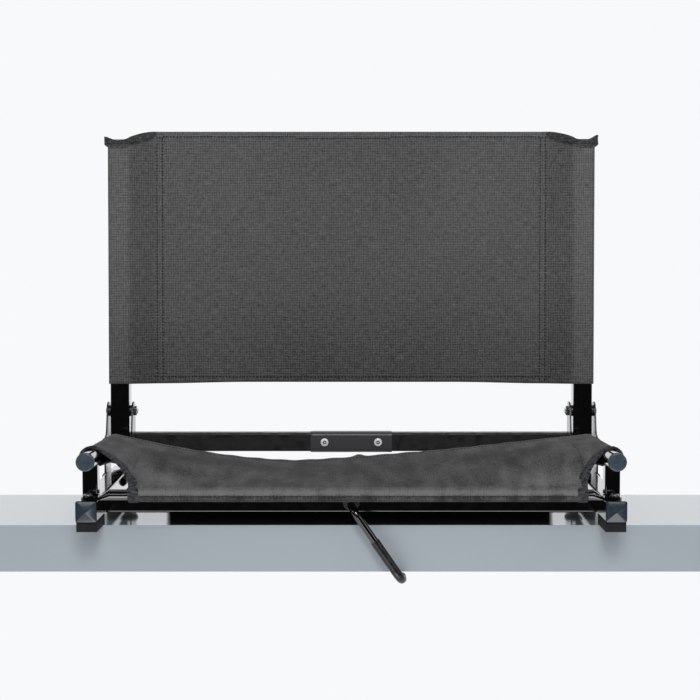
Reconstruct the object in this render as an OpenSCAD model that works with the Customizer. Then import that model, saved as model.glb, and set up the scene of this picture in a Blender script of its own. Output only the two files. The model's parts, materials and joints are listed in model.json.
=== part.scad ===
// Bleacher chair: a seat of square and round steel tube with a canvas sling
// seat and a folding canvas back. A crank hook at the front grips from below
// what the chair stands on. The origin is level with the undersides of the
// feet, midway between them. X runs across the chair, the sitter faces -Y and
// Z is up. Millimetres.

/* [Side frames] */
// Distance between the centre planes of the two side frames
side_spacing = 625; // [560:1:760]
// Length of each square base rail
rail_length = 305; // [290:1:360]
// Outer width of the square frame tube
tube_w = 25.4; // [24:0.1:27]
// Wall of the square frame tube
tube_wall = 1.5; // [1.2:0.1:2]
// Outer corner radius of the square frame tube
tube_corner = 2.5; // [2:0.1:4]
// Outer width of the short front post under each seat rail
post_w = 18.5; // [16:0.1:22]
// Distance from the front of the chair back to the middle of the front post
post_setback = 44; // [38:1:50]

/* [Seat rails] */
// Outer diameter of the round seat rail
seat_tube_d = 22.2; // [19:0.1:24]
// Wall of the round tubes
round_wall = 1.5; // [1.2:0.1:2]
// Height of the middle of the seat rail at the front of the chair
seat_front_z = 84; // [80:1:92]
// Fall of the seat rail towards the back, in degrees
seat_tilt = 2; // [1:0.1:3]

/* [Plugs and feet] */
// How far a plug's head stands out of its tube
plug_head = 5; // [3:0.1:7]
// Height of the straight rim of a square plug's head
plug_rim = 1.6; // [1:0.1:2.5]
// How deep a plug goes into its tube
plug_depth = 12; // [8:1:20]
// Wall of a plug's hollow stem
plug_wall = 1.8; // [1.2:0.1:2.5]
// Height of a rubber foot
foot_height = 12; // [9:0.5:16]
// Length of a rubber foot
foot_length = 60; // [45:1:70]
// How far the end of a foot sits back from the end of the plug's head
foot_setback = 8; // [6:1:12]

/* [Front bars] */
// Distance from the front of the chair back to the front of the crossbar
crossbar_setback = 74; // [70:1:80]
// Outer diameter of the sling bar in the seat's front hem
sling_bar_d = 12.7; // [11:0.1:14]
// Distance from the front of the chair back to the middle of the sling bar
sling_bar_setback = 20.5; // [18:0.5:23]
// Thickness of the flattened ends of the sling bar
tongue_t = 3; // [2.4:0.1:4]
// Width of the flattened ends of the sling bar
tongue_w = 17; // [14:0.5:19]
// How far the middle of a flattened end lies below the middle of the bar
tongue_drop = 3.5; // [2:0.1:4.5]

/* [Brackets] */
// Thickness of the steel bracket plates
plate_t = 2.2; // [1.6:0.1:3]
// Gap between a bracket plate and the tube beside it, filled by washers
side_gap = 3; // [2:0.1:3.6]
// Radius of the bracket plate round the pivot and the lower corners
plate_r = 12.5; // [11.5:0.1:12.6]
// Radius of the bracket plate round the seat rail's bolt
seat_lug_r = 9.5; // [8:0.1:11]
// Radius of the hollow corner between the plate's leg and its lug
plate_fillet = 8; // [4:0.5:12]
// Distance from the rear end of the base rail forward to the back's pivot
pivot_inset = 7.5; // [2.5:0.5:9.5]
// Height of the back's pivot
pivot_z = 114; // [109:1:119]
// Diameter of the pivot bolt
pivot_d = 6.35; // [6:0.05:8]
// Diameter of the fixed frame bolts
bolt_d = 6; // [5:0.1:7]
// Distance from the pivot forward to the two fixed bracket bolts
bolt_offset = 25; // [23:0.5:28]
// Height of the lower bracket bolt
lower_bolt_z = 27; // [25:0.5:28]
// Running clearance of a shaft in its hole, on the radius
run_gap = 0.06; // [0.03:0.01:0.1]

/* [Backrest] */
// Lean of the back from upright at rest, in degrees
recline = 2; // [0:0.5:4]
// Length of the upright above the pivot, to the top of its plug
upright_above = 355; // [300:1:420]
// Distance from the pivot down to the middle of the rear crossbar
crossbar_drop = 44; // [38:1:48]
// Gap between the uprights' lower ends and the base rails
upright_clear = 3; // [2.5:0.5:12]
// Gap between the two halves of the rear crossbar
crossbar_split = 1; // [0.4:0.1:3]
// Length of the clip that joins the halves of the rear crossbar
splice_length = 111; // [90:1:130]
// Sheet thickness of the joining clip
splice_t = 1.4; // [1:0.1:2]
// Distance between the two screws of the joining clip
splice_screw_spacing = 73; // [60:1:80]

/* [Canvas] */
// Thickness of the canvas
cloth_t = 1.6; // [1.2:0.1:2]
// Gap between the canvas and the tube inside it
cloth_gap = 0.4; // [0.3:0.05:0.8]
// Distance from a side frame's centre plane in to the end of the front hem
hem_inset = 41; // [36:1:60]
// How far the seat's front hem sits to the sitter's left of the middle
hem_shift = 8; // [-10:1:10]
// Distance from the front of the chair back to the canvas on the seat rails
hem_setback = 58; // [56:1:70]
// How far the canvas on the outside of a rail reaches ahead of its hem
hem_lip = 16; // [8:1:20]
// Distance from the fixed bracket bolts forward to the seat's rear hem
seat_rear_gap = 27.5; // [24:0.5:40]
// Height of the lowest point of the seat's rear hem
sag_z = 52.5; // [44:0.5:64]
// Sideways place of the lowest point of the seat
sag_x = -75; // [-120:5:120]
// Distance from the pivot up to the bottom hem of the back
back_bottom = 37; // [32:1:60]
// Height of the back's top hem above the tops of the upright's plugs
top_hem = 22; // [17:0.5:28]
// Distance from the inner face of an upright to the sewn line of its pocket
pocket_seam = 38; // [30:1:50]

/* [Hook] */
// Diameter of the hook's round rod
hook_d = 9.5; // [8:0.1:11]
// Distance from the hook's turning axis to the middle of its tip
hook_arm = 108.5; // [90:0.5:120]
// Swing of the hook from straight down, as it grips the plank, in degrees
hook_angle = 34.4; // [10:0.1:50]
// Bend radius of the hook's rod, to its middle
hook_bend = 14; // [12:0.5:18]
// Distance from the front of the chair back to the middle of the hook's arm
hook_setback = 38.5; // [36:0.5:41]
// Length of the hook's tip behind the middle of its arm
hook_reach = 25; // [22:1:31]
// Wall of the vinyl sleeve on the hook
sleeve_t = 0.9; // [0.6:0.1:1.2]
// Distance from the hook's turning axis to the start of its sleeve
sleeve_start = 50; // [40:1:60]
// Outer diameter of the flanges of the hook's bushes
bush_flange_d = 20; // [17:0.5:22]

/* [Hidden] */
$fn = 48;
sides = [-1, 1];
through = side_spacing / 3;

// Side frames
side_x = side_spacing / 2;
front_y = -rail_length / 2 - plug_head;
rail_z = foot_height + tube_w / 2;
rail_top = foot_height + tube_w;
inside_w = tube_w - 2 * tube_wall;
inside_corner = tube_corner - tube_wall;
post_y = front_y + post_setback;
post_wall = 1.4;
plug_play = 0.1;
plug_inset = 0.3;

// Lines that the brackets share with the rails
pivot_y = rail_length / 2 - pivot_inset;
fixed_bolt_y = pivot_y - bolt_offset;

// Seat rails
fixed_lug_gap = 8.5;
seat_rail_end_y = fixed_bolt_y + fixed_lug_gap;
seat_rail_length = (seat_rail_end_y - front_y) / cos(seat_tilt);
seat_bolt_z = seat_rail_z(fixed_bolt_y);
cap_bevel = 1.2;

// Front bars
crossbar_y = front_y + crossbar_setback + tube_w / 2;
crossbar_length = side_spacing - tube_w;
bar_y = front_y + sling_bar_setback;
bar_z = rail_top + tongue_t / 2 + tongue_drop;
bar_wall = 1.2;
tongue_taper = 12;
tongue_start = side_x - tube_w / 2 - 1;

// Brackets: a stack is half the width over the two plates of one side
stack = tube_w / 2 + side_gap + plate_t;
washer_play = 0.1;
pivot_washer_d = 15;
frame_washer_d = 13;
spacer_d = 13;
pivot_head_d = 15;
pivot_head_h = 2.6;
bolt_head_d = 11.5;
bolt_head_h = 5;
nut_af = 10;
nut_hex = 4.5;
nut_cap = 3;
nut_room = 0.5;
pivot_nut_af = 11.1;
pivot_nut_hex = 3.5;
pivot_nut_cap = 2.5;
small_nut_af = 8;
small_nut_hex = 4;
small_nut_cap = 2.4;
bumper_d = 13;
bumper_h = 5.5;
bumper_y = 66;
bumper_z = rail_z + 4;
small_screw_d = 5;
small_head_d = 11;
small_head_h = 3;

// Backrest, in the frame of the pivot
upright_below = pivot_z - rail_top - upright_clear;
plate_foot = 85;
screw_rise = 8;
crossbar_screw_z = screw_rise - crossbar_drop;
splice_flange = 19;
splice_corner = 4;

// Canvas
wrap_r = seat_tube_d / 2 + cloth_gap + cloth_t / 2;
wrap_top = 80;
wrap_end = 305;
wrap_ease = 0.6;
lip_end = 212;
hem_y = front_y + hem_setback;
seat_rear_y = fixed_bolt_y - seat_rear_gap;
pocket_r = sling_bar_d / 2 + cloth_gap + cloth_t;
hem_turn = 20;
panel_y = bar_y + (pocket_r - cloth_t / 2) * sin(hem_turn);
bar_top = bar_z + (pocket_r - cloth_t / 2) * cos(hem_turn);
seam_in = 30;
seam_gap = 0.5;
sag_power_left = 1.57;
sag_power_right = 1.3;
arch_mid_y = 0.3;
arch_mid_z = 0.55;
back_height = upright_above + top_hem - back_bottom;
ear_gap = 1.5;
ear_rise = 4;
ear_t = 3.2;
ear_out = 8;
ear_tip_drop = 7;
ear_dip = 12;
ear_dip_in = 26;

// Hook
hook_z = rail_z;
hook_y = front_y + hook_setback;
hook_thread_d = 8;
hook_thread_length = 12;
hook_sleeve_d = hook_d + 2 * sleeve_t;
bush_barrel_d = hook_d + 3.2;
bush_flange_t = 2;
bush_barrel_length = 7;
hook_washer_t = 1.6;
hook_play = 0.1;
hook_nut_af = 13;
hook_nut_h = 8;
hook_rear_y = crossbar_y + tube_w / 2 + bush_flange_t;

// Height of the seat rail's middle line at a given depth
function seat_rail_z(y) = seat_front_z - (y - front_y) * tan(seat_tilt);

// Points of an arc in the plane, from one angle to another
function arc(c, r, a, b, steps) =
    [for (i = [0:steps]) c + r * [cos(a + (b - a) * i / steps), sin(a + (b - a) * i / steps)]];

module rounded_square(w, r) {
    square([w - 2 * r, w], center = true);
    square([w, w - 2 * r], center = true);
    for (sx = sides, sy = sides) translate([sx, sy] * (w / 2 - r)) circle(r);
}

// Square tube along +Z from the origin
module square_tube(length, w = tube_w, wall = tube_wall, corner = tube_corner) {
    linear_extrude(length) difference() {
        rounded_square(w, corner);
        rounded_square(w - 2 * wall, corner - wall);
    }
}

// Round tube along +Z from the origin
module round_tube(length, d, wall) {
    difference() {
        cylinder(d = d, h = length);
        translate([0, 0, -1]) cylinder(d = d - 2 * wall, h = length + 2);
    }
}

// Places a child whose +Z points out of one side frame
module across(side, y, z) {
    translate([side * side_x, y, z]) rotate([0, side * 90, 0]) children();
}

// Places a child at the pivot, leaning back with the uprights
module reclined(x = 0) {
    translate([x, pivot_y, pivot_z]) rotate([-recline, 0, 0]) children();
}

// Places a child at the front of a seat rail, with +Z along the rail
module on_seat_rail(side) {
    translate([side * side_x, front_y, seat_front_z]) rotate([-90 - seat_tilt, 0, 0]) children();
}

// Hole along Z through everything near the origin
module hole(d, length = through) {
    cylinder(d = d, h = length, center = true);
}

// Low dome of the given width on the plane z = 0
module dome(d, h) {
    ball_r = (d * d / 4 + h * h) / (2 * h);
    intersection() {
        translate([0, 0, h - ball_r]) sphere(ball_r);
        cylinder(d = d, h = h);
    }
}

// Screw with a domed head above z = 0 and its shank below
module dome_screw(d, length, head_d, head_h) {
    dome(head_d, head_h);
    translate([0, 0, -length]) cylinder(d = d, h = length + 0.01);
}

// Hexagon nut on z = 0 with a domed cap over the bolt's end
module cap_nut(af, bore_d, hex_h, cap_h) {
    difference() {
        union() {
            cylinder(d = af / cos(30), h = hex_h, $fn = 6);
            translate([0, 0, hex_h - 0.01]) dome(af * 0.94, cap_h);
        }
        translate([0, 0, -1]) cylinder(d = bore_d, h = hex_h + 1);
    }
}

// Plug for a square tube: its stem fills the tube below z = 0
module square_plug() {
    stem_w = inside_w - 2 * plug_play;
    hull() {
        linear_extrude(plug_rim) rounded_square(tube_w - 2 * plug_inset, tube_corner - plug_inset, $fn = 16);
        linear_extrude(plug_head) square(1.5, center = true);
    }
    translate([0, 0, -plug_depth]) linear_extrude(plug_depth + 0.01) difference() {
        square(stem_w - 0.6, center = true);
        square(stem_w - 2 * plug_wall, center = true);
    }
}

module base_rail(side) {
    color("#17181a") difference() {
        translate([side * side_x, -rail_length / 2, rail_z]) rotate([-90, 0, 0]) square_tube(rail_length);
        across(side, fixed_bolt_y, lower_bolt_z) hole(bolt_d);
        translate([side * side_x, bar_y, rail_top]) hole(small_screw_d, tube_w);
        for (y = foot_screw_ys()) translate([side * side_x, y, foot_height]) hole(small_screw_d, tube_w);
    }
}

module rail_plugs(end) {
    color("#46505e") for (side = sides)
        translate([side * side_x, end * rail_length / 2, rail_z]) rotate([-90 * end, 0, 0]) square_plug();
}

// Depth of the middle of the front and rear feet
function foot_y(end) = end * (-front_y - foot_setback - foot_length / 2);
function foot_screw_ys() = [for (end = sides) foot_y(end)];

module foot(side, end) {
    recess_d = small_head_d + 1;
    color("#1d1e20") translate([side * side_x, foot_y(end), 0]) difference() {
        linear_extrude(foot_height) square([tube_w - 0.8, foot_length], center = true);
        hole(small_screw_d);
        translate([0, 0, -1]) cylinder(d = recess_d, h = foot_height / 2 + 1);
    }
}

module foot_screws() {
    color("#b9bcc0") for (side = sides, y = foot_screw_ys())
        translate([side * side_x, y, foot_height / 2]) rotate([180, 0, 0])
            dome_screw(small_screw_d, foot_height / 2 + tube_wall + 2, small_head_d - 1, small_head_h);
}

module front_post(side) {
    color("#17181a") difference() {
        translate([side * side_x, post_y, rail_top])
            square_tube(seat_rail_z(post_y) - rail_top, post_w, post_wall, tube_corner);
        on_seat_rail(side) cylinder(d = seat_tube_d, h = seat_rail_length);
    }
}

module seat_rail(side) {
    color("#17181a") difference() {
        on_seat_rail(side) translate([0, 0, plug_head])
            round_tube(seat_rail_length - plug_head, seat_tube_d, round_wall);
        across(side, fixed_bolt_y, seat_bolt_z) hole(bolt_d);
    }
}

module seat_rail_caps() {
    stem_r = seat_tube_d / 2 - round_wall - plug_play;
    head_r = seat_tube_d / 2;
    color("#46505e") for (side = sides) on_seat_rail(side) rotate_extrude() polygon([
        [0, 0], [head_r - cap_bevel, 0], [head_r, cap_bevel], [head_r, plug_head], [stem_r, plug_head],
        [stem_r, plug_head + plug_depth], [stem_r - plug_wall, plug_head + plug_depth],
        [stem_r - plug_wall, plug_head / 2], [0, plug_head / 2],
    ]);
}

module front_crossbar() {
    color("#17181a") difference() {
        translate([-crossbar_length / 2, crossbar_y, rail_z]) rotate([0, 90, 0]) square_tube(crossbar_length);
        translate([0, crossbar_y, hook_z]) rotate([90, 0, 0]) hole(bush_barrel_d);
    }
}

// One flattened end of the sling bar, along +X from the middle of the chair
module bar_tongue() {
    round_end = tongue_start - tongue_taper;
    hull() {
        translate([round_end - 0.5, 0, 0]) rotate([0, 90, 0]) cylinder(d = sling_bar_d, h = 0.5);
        translate([tongue_start, 0, -tongue_drop]) cube([0.5, tongue_w, tongue_t], center = true);
    }
    difference() {
        union() {
            translate([tongue_start, -tongue_w / 2, -tongue_drop - tongue_t / 2])
                cube([side_x - tongue_start, tongue_w, tongue_t]);
            translate([side_x, 0, -tongue_drop]) cylinder(d = tongue_w, h = tongue_t, center = true);
        }
        translate([side_x, 0, 0]) hole(small_screw_d);
    }
}

module sling_bar() {
    round_length = 2 * (tongue_start - tongue_taper);
    color("#17181a") translate([0, bar_y, bar_z]) {
        rotate([0, 90, 0]) translate([0, 0, -round_length / 2]) round_tube(round_length, sling_bar_d, bar_wall);
        bar_tongue();
        mirror([1, 0, 0]) bar_tongue();
    }
}

module sling_bar_screws() {
    color("#c4c7cb") for (side = sides) translate([side * side_x, bar_y, rail_top + tongue_t])
        dome_screw(small_screw_d, tongue_t + tube_wall + 3, small_head_d, small_head_h + 0.6);
}

// Push-in rubber buttons on the inner faces of the base rails
module rail_bumpers() {
    color("#131416") for (side = sides) across(side, bumper_y, bumper_z)
        translate([0, 0, -tube_w / 2]) rotate([180, 0, 0]) dome(bumper_d, bumper_h);
}

// Outline of a bracket plate in depth and height: a leg beside the upright,
// a foot beside the base rail and a lug up to the seat rail
module plate_outline() {
    foot_end = [pivot_y - plate_foot * sin(recline), pivot_z - plate_foot * cos(recline)];
    difference() {
        offset(r = -plate_fillet) offset(r = plate_fillet) {
            hull() {
                translate([pivot_y, pivot_z]) circle(plate_r);
                translate(foot_end) circle(plate_r);
                translate([fixed_bolt_y, foot_end[1]]) circle(plate_r);
            }
            hull() {
                translate([fixed_bolt_y, foot_end[1]]) circle(plate_r);
                translate([fixed_bolt_y, seat_bolt_z]) circle(seat_lug_r);
            }
        }
        translate([pivot_y, pivot_z]) circle(d = pivot_d);
        for (z = [lower_bolt_z, seat_bolt_z]) translate([fixed_bolt_y, z]) circle(d = bolt_d);
    }
}

// Bracket plate on the outer (out = 1) or inner (out = -1) side of a frame
module bracket_plate(side, out) {
    near = side * side_x + side * out * (tube_w / 2 + side_gap);
    color("#1b1c1e") translate([near + (side * out > 0 ? 0 : -plate_t), 0, 0])
        rotate([90, 0, 90]) linear_extrude(plate_t) plate_outline();
}

module pivot_bolts() {
    color("#17181a") for (side = sides) across(side, pivot_y, pivot_z) {
        translate([0, 0, stack]) dome(pivot_head_d, pivot_head_h);
        translate([0, 0, nut_room - stack - pivot_nut_hex])
            cylinder(d = pivot_d, h = 2 * stack + pivot_nut_hex - nut_room + 0.01);
    }
}

module pivot_nuts() {
    color("#d4d7da") for (side = sides) across(side, pivot_y, pivot_z)
        translate([0, 0, -stack]) rotate([180, 0, 0])
            cap_nut(pivot_nut_af, pivot_d, pivot_nut_hex, pivot_nut_cap);
}

// Washer that fills the gap between a plate and a tube, resting on the plate
module gap_washer(d, bore_d, play) {
    for (out = sides) translate([0, 0, out * (tube_w / 2 + side_gap / 2 + play / 2)]) difference() {
        cylinder(d = d, h = side_gap - play, center = true);
        hole(bore_d);
    }
}

module pivot_washers() {
    color("#0e0f10") for (side = sides) across(side, pivot_y, pivot_z)
        gap_washer(pivot_washer_d, pivot_d, washer_play);
}

module bracket_washers() {
    color("#0e0f10") for (side = sides) across(side, fixed_bolt_y, lower_bolt_z)
        gap_washer(frame_washer_d, bolt_d, 0);
}

// Collars between the round seat rail and the plates, coped to the rail
module seat_rail_spacers() {
    color("#0e0f10") for (side = sides) difference() {
        across(side, fixed_bolt_y, seat_bolt_z)
            cylinder(d = spacer_d, h = 2 * (stack - plate_t), center = true);
        on_seat_rail(side) cylinder(d = seat_tube_d, h = seat_rail_length);
        across(side, fixed_bolt_y, seat_bolt_z) hole(bolt_d);
    }
}

module bracket_bolts() {
    color("#202226") for (side = sides, z = [lower_bolt_z, seat_bolt_z]) across(side, fixed_bolt_y, z) {
        translate([0, 0, stack]) dome(bolt_head_d, bolt_head_h);
        translate([0, 0, nut_room - stack - nut_hex])
            cylinder(d = bolt_d, h = 2 * stack + nut_hex - nut_room + 0.01);
    }
}

module bracket_nuts() {
    color("#17181a") for (side = sides, z = [lower_bolt_z, seat_bolt_z]) across(side, fixed_bolt_y, z)
        translate([0, 0, -stack]) rotate([180, 0, 0]) cap_nut(nut_af, bolt_d, nut_hex, nut_cap);
}

module upright(side) {
    tube_length = upright_above - plug_head + upright_below - plug_head;
    color("#17181a") reclined(side * side_x) difference() {
        translate([0, 0, plug_head - upright_below]) square_tube(tube_length);
        rotate([0, 90, 0]) hole(pivot_d + 2 * run_gap);
        translate([0, 0, crossbar_screw_z]) rotate([90, 0, 0]) hole(small_screw_d);
    }
}

module upright_plugs_top() {
    color("#46505e") for (side = sides) reclined(side * side_x)
        translate([0, 0, upright_above - plug_head]) square_plug();
}

module upright_plugs_bottom() {
    color("#46505e") for (side = sides) reclined(side * side_x)
        translate([0, 0, plug_head - upright_below]) rotate([180, 0, 0]) square_plug();
}

// Half of the rear crossbar, behind the uprights
module rear_crossbar(side) {
    length = side_x + tube_w / 2 - plug_head - crossbar_split / 2;
    color("#17181a") reclined() difference() {
        translate([side * crossbar_split / 2, tube_w, -crossbar_drop]) rotate([0, side * 90, 0])
            square_tube(length);
        for (x = [side_x, splice_screw_spacing / 2])
            translate([side * x, 0, x == side_x ? crossbar_screw_z : -crossbar_drop])
                rotate([90, 0, 0]) hole(small_screw_d);
    }
}

// Their stems are drilled for the screws that hold the crossbar
module crossbar_plugs() {
    color("#46505e") for (side = sides) reclined() difference() {
        translate([side * (side_x + tube_w / 2 - plug_head), tube_w, -crossbar_drop])
            rotate([0, side * 90, 0]) square_plug();
        translate([side * side_x, tube_w, crossbar_screw_z]) rotate([90, 0, 0]) hole(small_screw_d);
    }
}

// Channel that hugs the front of both crossbar halves and joins them
module splice_clip() {
    outer = tube_w + 2 * splice_t;
    color("#3a3c3e") reclined() translate([0, tube_w / 2, -crossbar_drop]) difference() {
        translate([-splice_length / 2, -splice_t, -outer / 2]) cube([splice_length, splice_flange, outer]);
        translate([-splice_length / 2 - 1, 0, -tube_w / 2]) cube([splice_length + 2, splice_flange, tube_w]);
        for (side = sides) {
            translate([side * splice_screw_spacing / 2, 0, 0]) rotate([90, 0, 0]) hole(small_screw_d);
            translate([side * splice_length / 2, splice_flange - splice_t, 0])
                rotate([0, 0, 45]) cube([splice_corner, splice_corner, outer + 2] * 1.4, center = true);
        }
    }
}

module splice_screws() {
    color("#c4c7cb") for (side = sides) reclined()
        translate([side * splice_screw_spacing / 2, tube_w / 2 - splice_t, -crossbar_drop]) rotate([90, 0, 0])
            dome_screw(small_screw_d, splice_t + tube_w + small_nut_hex - nut_room,
                small_head_d, small_head_h);
}

module crossbar_screws() {
    color("#c4c7cb") for (side = sides) reclined()
        translate([side * side_x, -tube_w / 2, crossbar_screw_z]) rotate([90, 0, 0])
            dome_screw(small_screw_d, 2 * tube_w + small_nut_hex - nut_room, small_head_d, small_head_h);
}

module rear_nuts() {
    color("#b9bcc0") for (side = sides, x = [side_x, splice_screw_spacing / 2]) reclined()
        translate([side * x, 1.5 * tube_w, x == side_x ? crossbar_screw_z : -crossbar_drop]) rotate([-90, 0, 0])
            cap_nut(small_nut_af, small_screw_d, small_nut_hex, small_nut_cap);
}

// Front edge of the canvas round a seat rail, at an angle from its inner side
function wrap_front(a) =
    a < lip_end ? hem_y - hem_lip * sin(180 * (a - wrap_top) / (lip_end - wrap_top)) : hem_y;

// Middle of the canvas round a seat rail, at a share s of the way back
function wrap_point(side, a, s) =
    let (y = wrap_front(a) + (seat_rear_y - wrap_front(a)) * s)
    [side * (side_x - wrap_r * cos(a)), y, seat_rail_z(y) + wrap_r * sin(a)];

// Inner edges of the canvas on the rails, and the ends of the front hem
edge_x = side_x - wrap_r * cos(wrap_top);
function edge_z(y) = seat_rail_z(y) + wrap_r * sin(wrap_top);
function hem_x(side) = side * (side_x - hem_inset) + hem_shift;

// Height of the slack canvas between the rails, without the pull of the bar
function hammock_z(x, y) =
    let (
        share = (y - panel_y) / (seat_rear_y - panel_y),
        low = bar_top + (sag_z - bar_top) * share,
        reach = (x < sag_x ? -edge_x : edge_x) - sag_x,
        power = x < sag_x ? sag_power_left : sag_power_right
    )
    low + (edge_z(y) - low) * pow((x - sag_x) / reach, power);

// Least height of the canvas above a seat rail that it bends over
function over_rail_z(x, y) =
    let (r = wrap_r + wrap_ease, inward = side_x - abs(x))
    seat_rail_z(y) + (inward < r ? sqrt(r * r - inward * inward) : -side_x);

// How far along the curved side cut a sideways place lies, 0 at the front hem
function cut_share(x) =
    let (side = x < 0 ? -1 : 1, start = hem_x(side))
    side * x <= side * start ? 0 : sqrt((x - start) / (side * edge_x - start));

// Depth and height of the canvas's front edge: the bar, then the side cut
function front_edge(x) =
    let (t = cut_share(x), back = hem_y - panel_y, rise = edge_z(hem_y) - bar_top)
    [
        panel_y + back * (2 * t * (1 - t) * arch_mid_y + t * t),
        bar_top + rise * (2 * t * (1 - t) * arch_mid_z + t * t),
    ];

// Height of the middle of the seat canvas between the rails
function seat_z(x, y) =
    let (
        edge = front_edge(x),
        s = max(0, min(1, (y - edge[0]) / (seat_rear_y - edge[0]))),
        pull = pow(1 - s, 2 + 6 * pow(abs(x) / edge_x, 3))
    )
    max(hammock_z(x, y) + (edge[1] - hammock_z(x, edge[0])) * pull, over_rail_z(x, y));

function seat_point(x, s) =
    let (edge = front_edge(x), y = edge[0] + (seat_rear_y - edge[0]) * s) [x, y, seat_z(x, y)];

// Middle of the sewn flap under the canvas, f = 0 at the seam, 1 at the rail
function flap_point(side, f, s) =
    let (
        rail = wrap_point(side, wrap_end, s),
        x = side * (side_x - seam_in),
        seam = [x, rail[1], seat_z(x, rail[1]) - cloth_t - seam_gap]
    )
    seam + (rail - seam) * f;

// Rows of the seat canvas, each a path from one sewn flap to the other
wrap_steps = 9;
cut_steps = 4;
flat_steps = 12;
seat_rows = 10;
wrap_angles = [for (i = [0:wrap_steps]) wrap_end + (wrap_top - wrap_end) * i / wrap_steps];
bend_angles = [wrap_top * 0.4, wrap_top * 0.7];
right_bend = [for (a = bend_angles) side_x - wrap_r * cos(a)];
left_bend = [-right_bend[1], -right_bend[0]];
left_cut = [for (i = [cut_steps - 1:-1:1]) hem_x(-1) - pow(i / cut_steps, 2) * (edge_x + hem_x(-1))];
right_cut = [for (i = [1:cut_steps - 1]) hem_x(1) + pow(i / cut_steps, 2) * (edge_x - hem_x(1))];
flat_xs = [for (i = [0:flat_steps]) hem_x(-1) + (hem_x(1) - hem_x(-1)) * i / flat_steps];
panel_xs = concat(left_bend, left_cut, flat_xs, right_cut, right_bend);
function seat_row(s) = concat(
    [for (f = [0, 0.5]) flap_point(-1, f, s)],
    [for (a = wrap_angles) wrap_point(-1, a, s)],
    [for (x = panel_xs) seat_point(x, s)],
    [for (i = [wrap_steps:-1:0]) wrap_point(1, wrap_angles[i], s)],
    [for (f = [0.5, 0]) flap_point(1, f, s)]
);

// Outward direction of a row at one of its points, square to the row
function row_normal(row, i) =
    let (
        step = row[min(i + 1, len(row) - 1)] - row[max(i - 1, 0)],
        length = norm([step[0], step[2]])
    )
    [-step[2], 0, step[0]] / length;

function offset_row(row, d) = [for (i = [0:len(row) - 1]) row[i] + d * row_normal(row, i)];

// Sheet through rows of points, with a wall of the given thickness
module sheet(rows, wall) {
    n = len(rows[0]);
    m = len(rows);
    function at(j, i, under) = (under * m + j) * n + i;
    points = concat(
        [for (row = rows) each offset_row(row, wall / 2)],
        [for (row = rows) each offset_row(row, -wall / 2)]
    );
    faces = concat(
        [for (j = [0:m - 2], i = [0:n - 2]) each
            quad(at(j, i, 0), at(j, i + 1, 0), at(j + 1, i + 1, 0), at(j + 1, i, 0))],
        [for (j = [0:m - 2], i = [0:n - 2]) each
            quad(at(j + 1, i, 1), at(j + 1, i + 1, 1), at(j, i + 1, 1), at(j, i, 1))],
        [for (i = [0:n - 2]) each quad(at(0, i + 1, 0), at(0, i, 0), at(0, i, 1), at(0, i + 1, 1))],
        [for (i = [0:n - 2]) each
            quad(at(m - 1, i, 0), at(m - 1, i + 1, 0), at(m - 1, i + 1, 1), at(m - 1, i, 1))],
        [for (j = [0:m - 2]) each quad(at(j, 0, 0), at(j + 1, 0, 0), at(j + 1, 0, 1), at(j, 0, 1))],
        [for (j = [0:m - 2]) each
            quad(at(j + 1, n - 1, 0), at(j, n - 1, 0), at(j, n - 1, 1), at(j + 1, n - 1, 1))]
    );
    polyhedron(points, faces);
}

// Two triangles of a four-cornered face
function quad(a, b, c, d) = [[c, b, a], [d, c, a]];

module seat_sling() {
    color("#4c4d4f") {
        sheet([for (j = [0:seat_rows]) seat_row(pow(j / seat_rows, 1.5))], cloth_t);
        translate([hem_x(-1), bar_y, bar_z]) rotate([0, 90, 0])
            round_tube(hem_x(1) - hem_x(-1), 2 * pocket_r, cloth_t);
    }
}

// Outline of a back pocket at a distance from the tube, seam towards +X
module pocket_outline(out) {
    half = tube_w / 2 + out;
    corner = tube_corner + out;
    c = half - corner;
    seam = [tube_w / 2 + pocket_seam, 0];
    tip_r = cloth_t / 2 + out / 4;
    lean = atan2(half - tip_r, seam[0] - c);
    polygon(concat(
        arc([c, c], corner, 90 - lean, 90, 3), arc([-c, c], corner, 90, 180, 4),
        arc([-c, -c], corner, 180, 270, 4), arc([c, -c], corner, 270, 270 + lean, 3),
        arc(seam, tip_r, lean - 90, 90 - lean, 3)
    ));
}

// Closed top of a back pocket, pinched flat above the upright's plug
module pocket_ear() {
    ear_top = back_bottom + back_height;
    ear_low = upright_above + ear_gap;
    outer_x = -tube_w / 2 - ear_out;
    inner_x = tube_w / 2 + pocket_seam;
    hull() {
        translate([0, 0, ear_low]) linear_extrude(0.5) pocket_outline(cloth_gap + cloth_t);
        translate([outer_x, -ear_t / 2, ear_low + ear_rise]) cube([inner_x - outer_x, ear_t, 3]);
    }
    rotate([90, 0, 0]) linear_extrude(ear_t, center = true) polygon([
        [outer_x, ear_low + ear_rise], [inner_x, ear_low + ear_rise],
        [inner_x, ear_top], [inner_x - pocket_seam / 3, ear_top],
        [outer_x + ear_dip_in, ear_top - ear_dip], [outer_x, ear_top - ear_tip_drop],
    ]);
}

module back_sling() {
    panel_half = side_x - tube_w / 2 - pocket_seam + 1;
    color("#4c4d4f") reclined() {
        for (side = sides) translate([side * side_x, 0, 0]) scale([-side, 1, 1]) {
            translate([0, 0, back_bottom]) linear_extrude(upright_above + 2 - back_bottom) difference() {
                pocket_outline(cloth_gap + cloth_t);
                pocket_outline(cloth_gap);
            }
            pocket_ear();
        }
        translate([-panel_half, -cloth_t / 2, back_bottom]) cube([2 * panel_half, cloth_t, back_height]);
    }
}

// Places the hook's own frame: the arm hangs along -Z, the tip points to +Y
module hook_frame() {
    translate([0, hook_y, hook_z]) rotate([0, -hook_angle, 0]) children();
}

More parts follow.
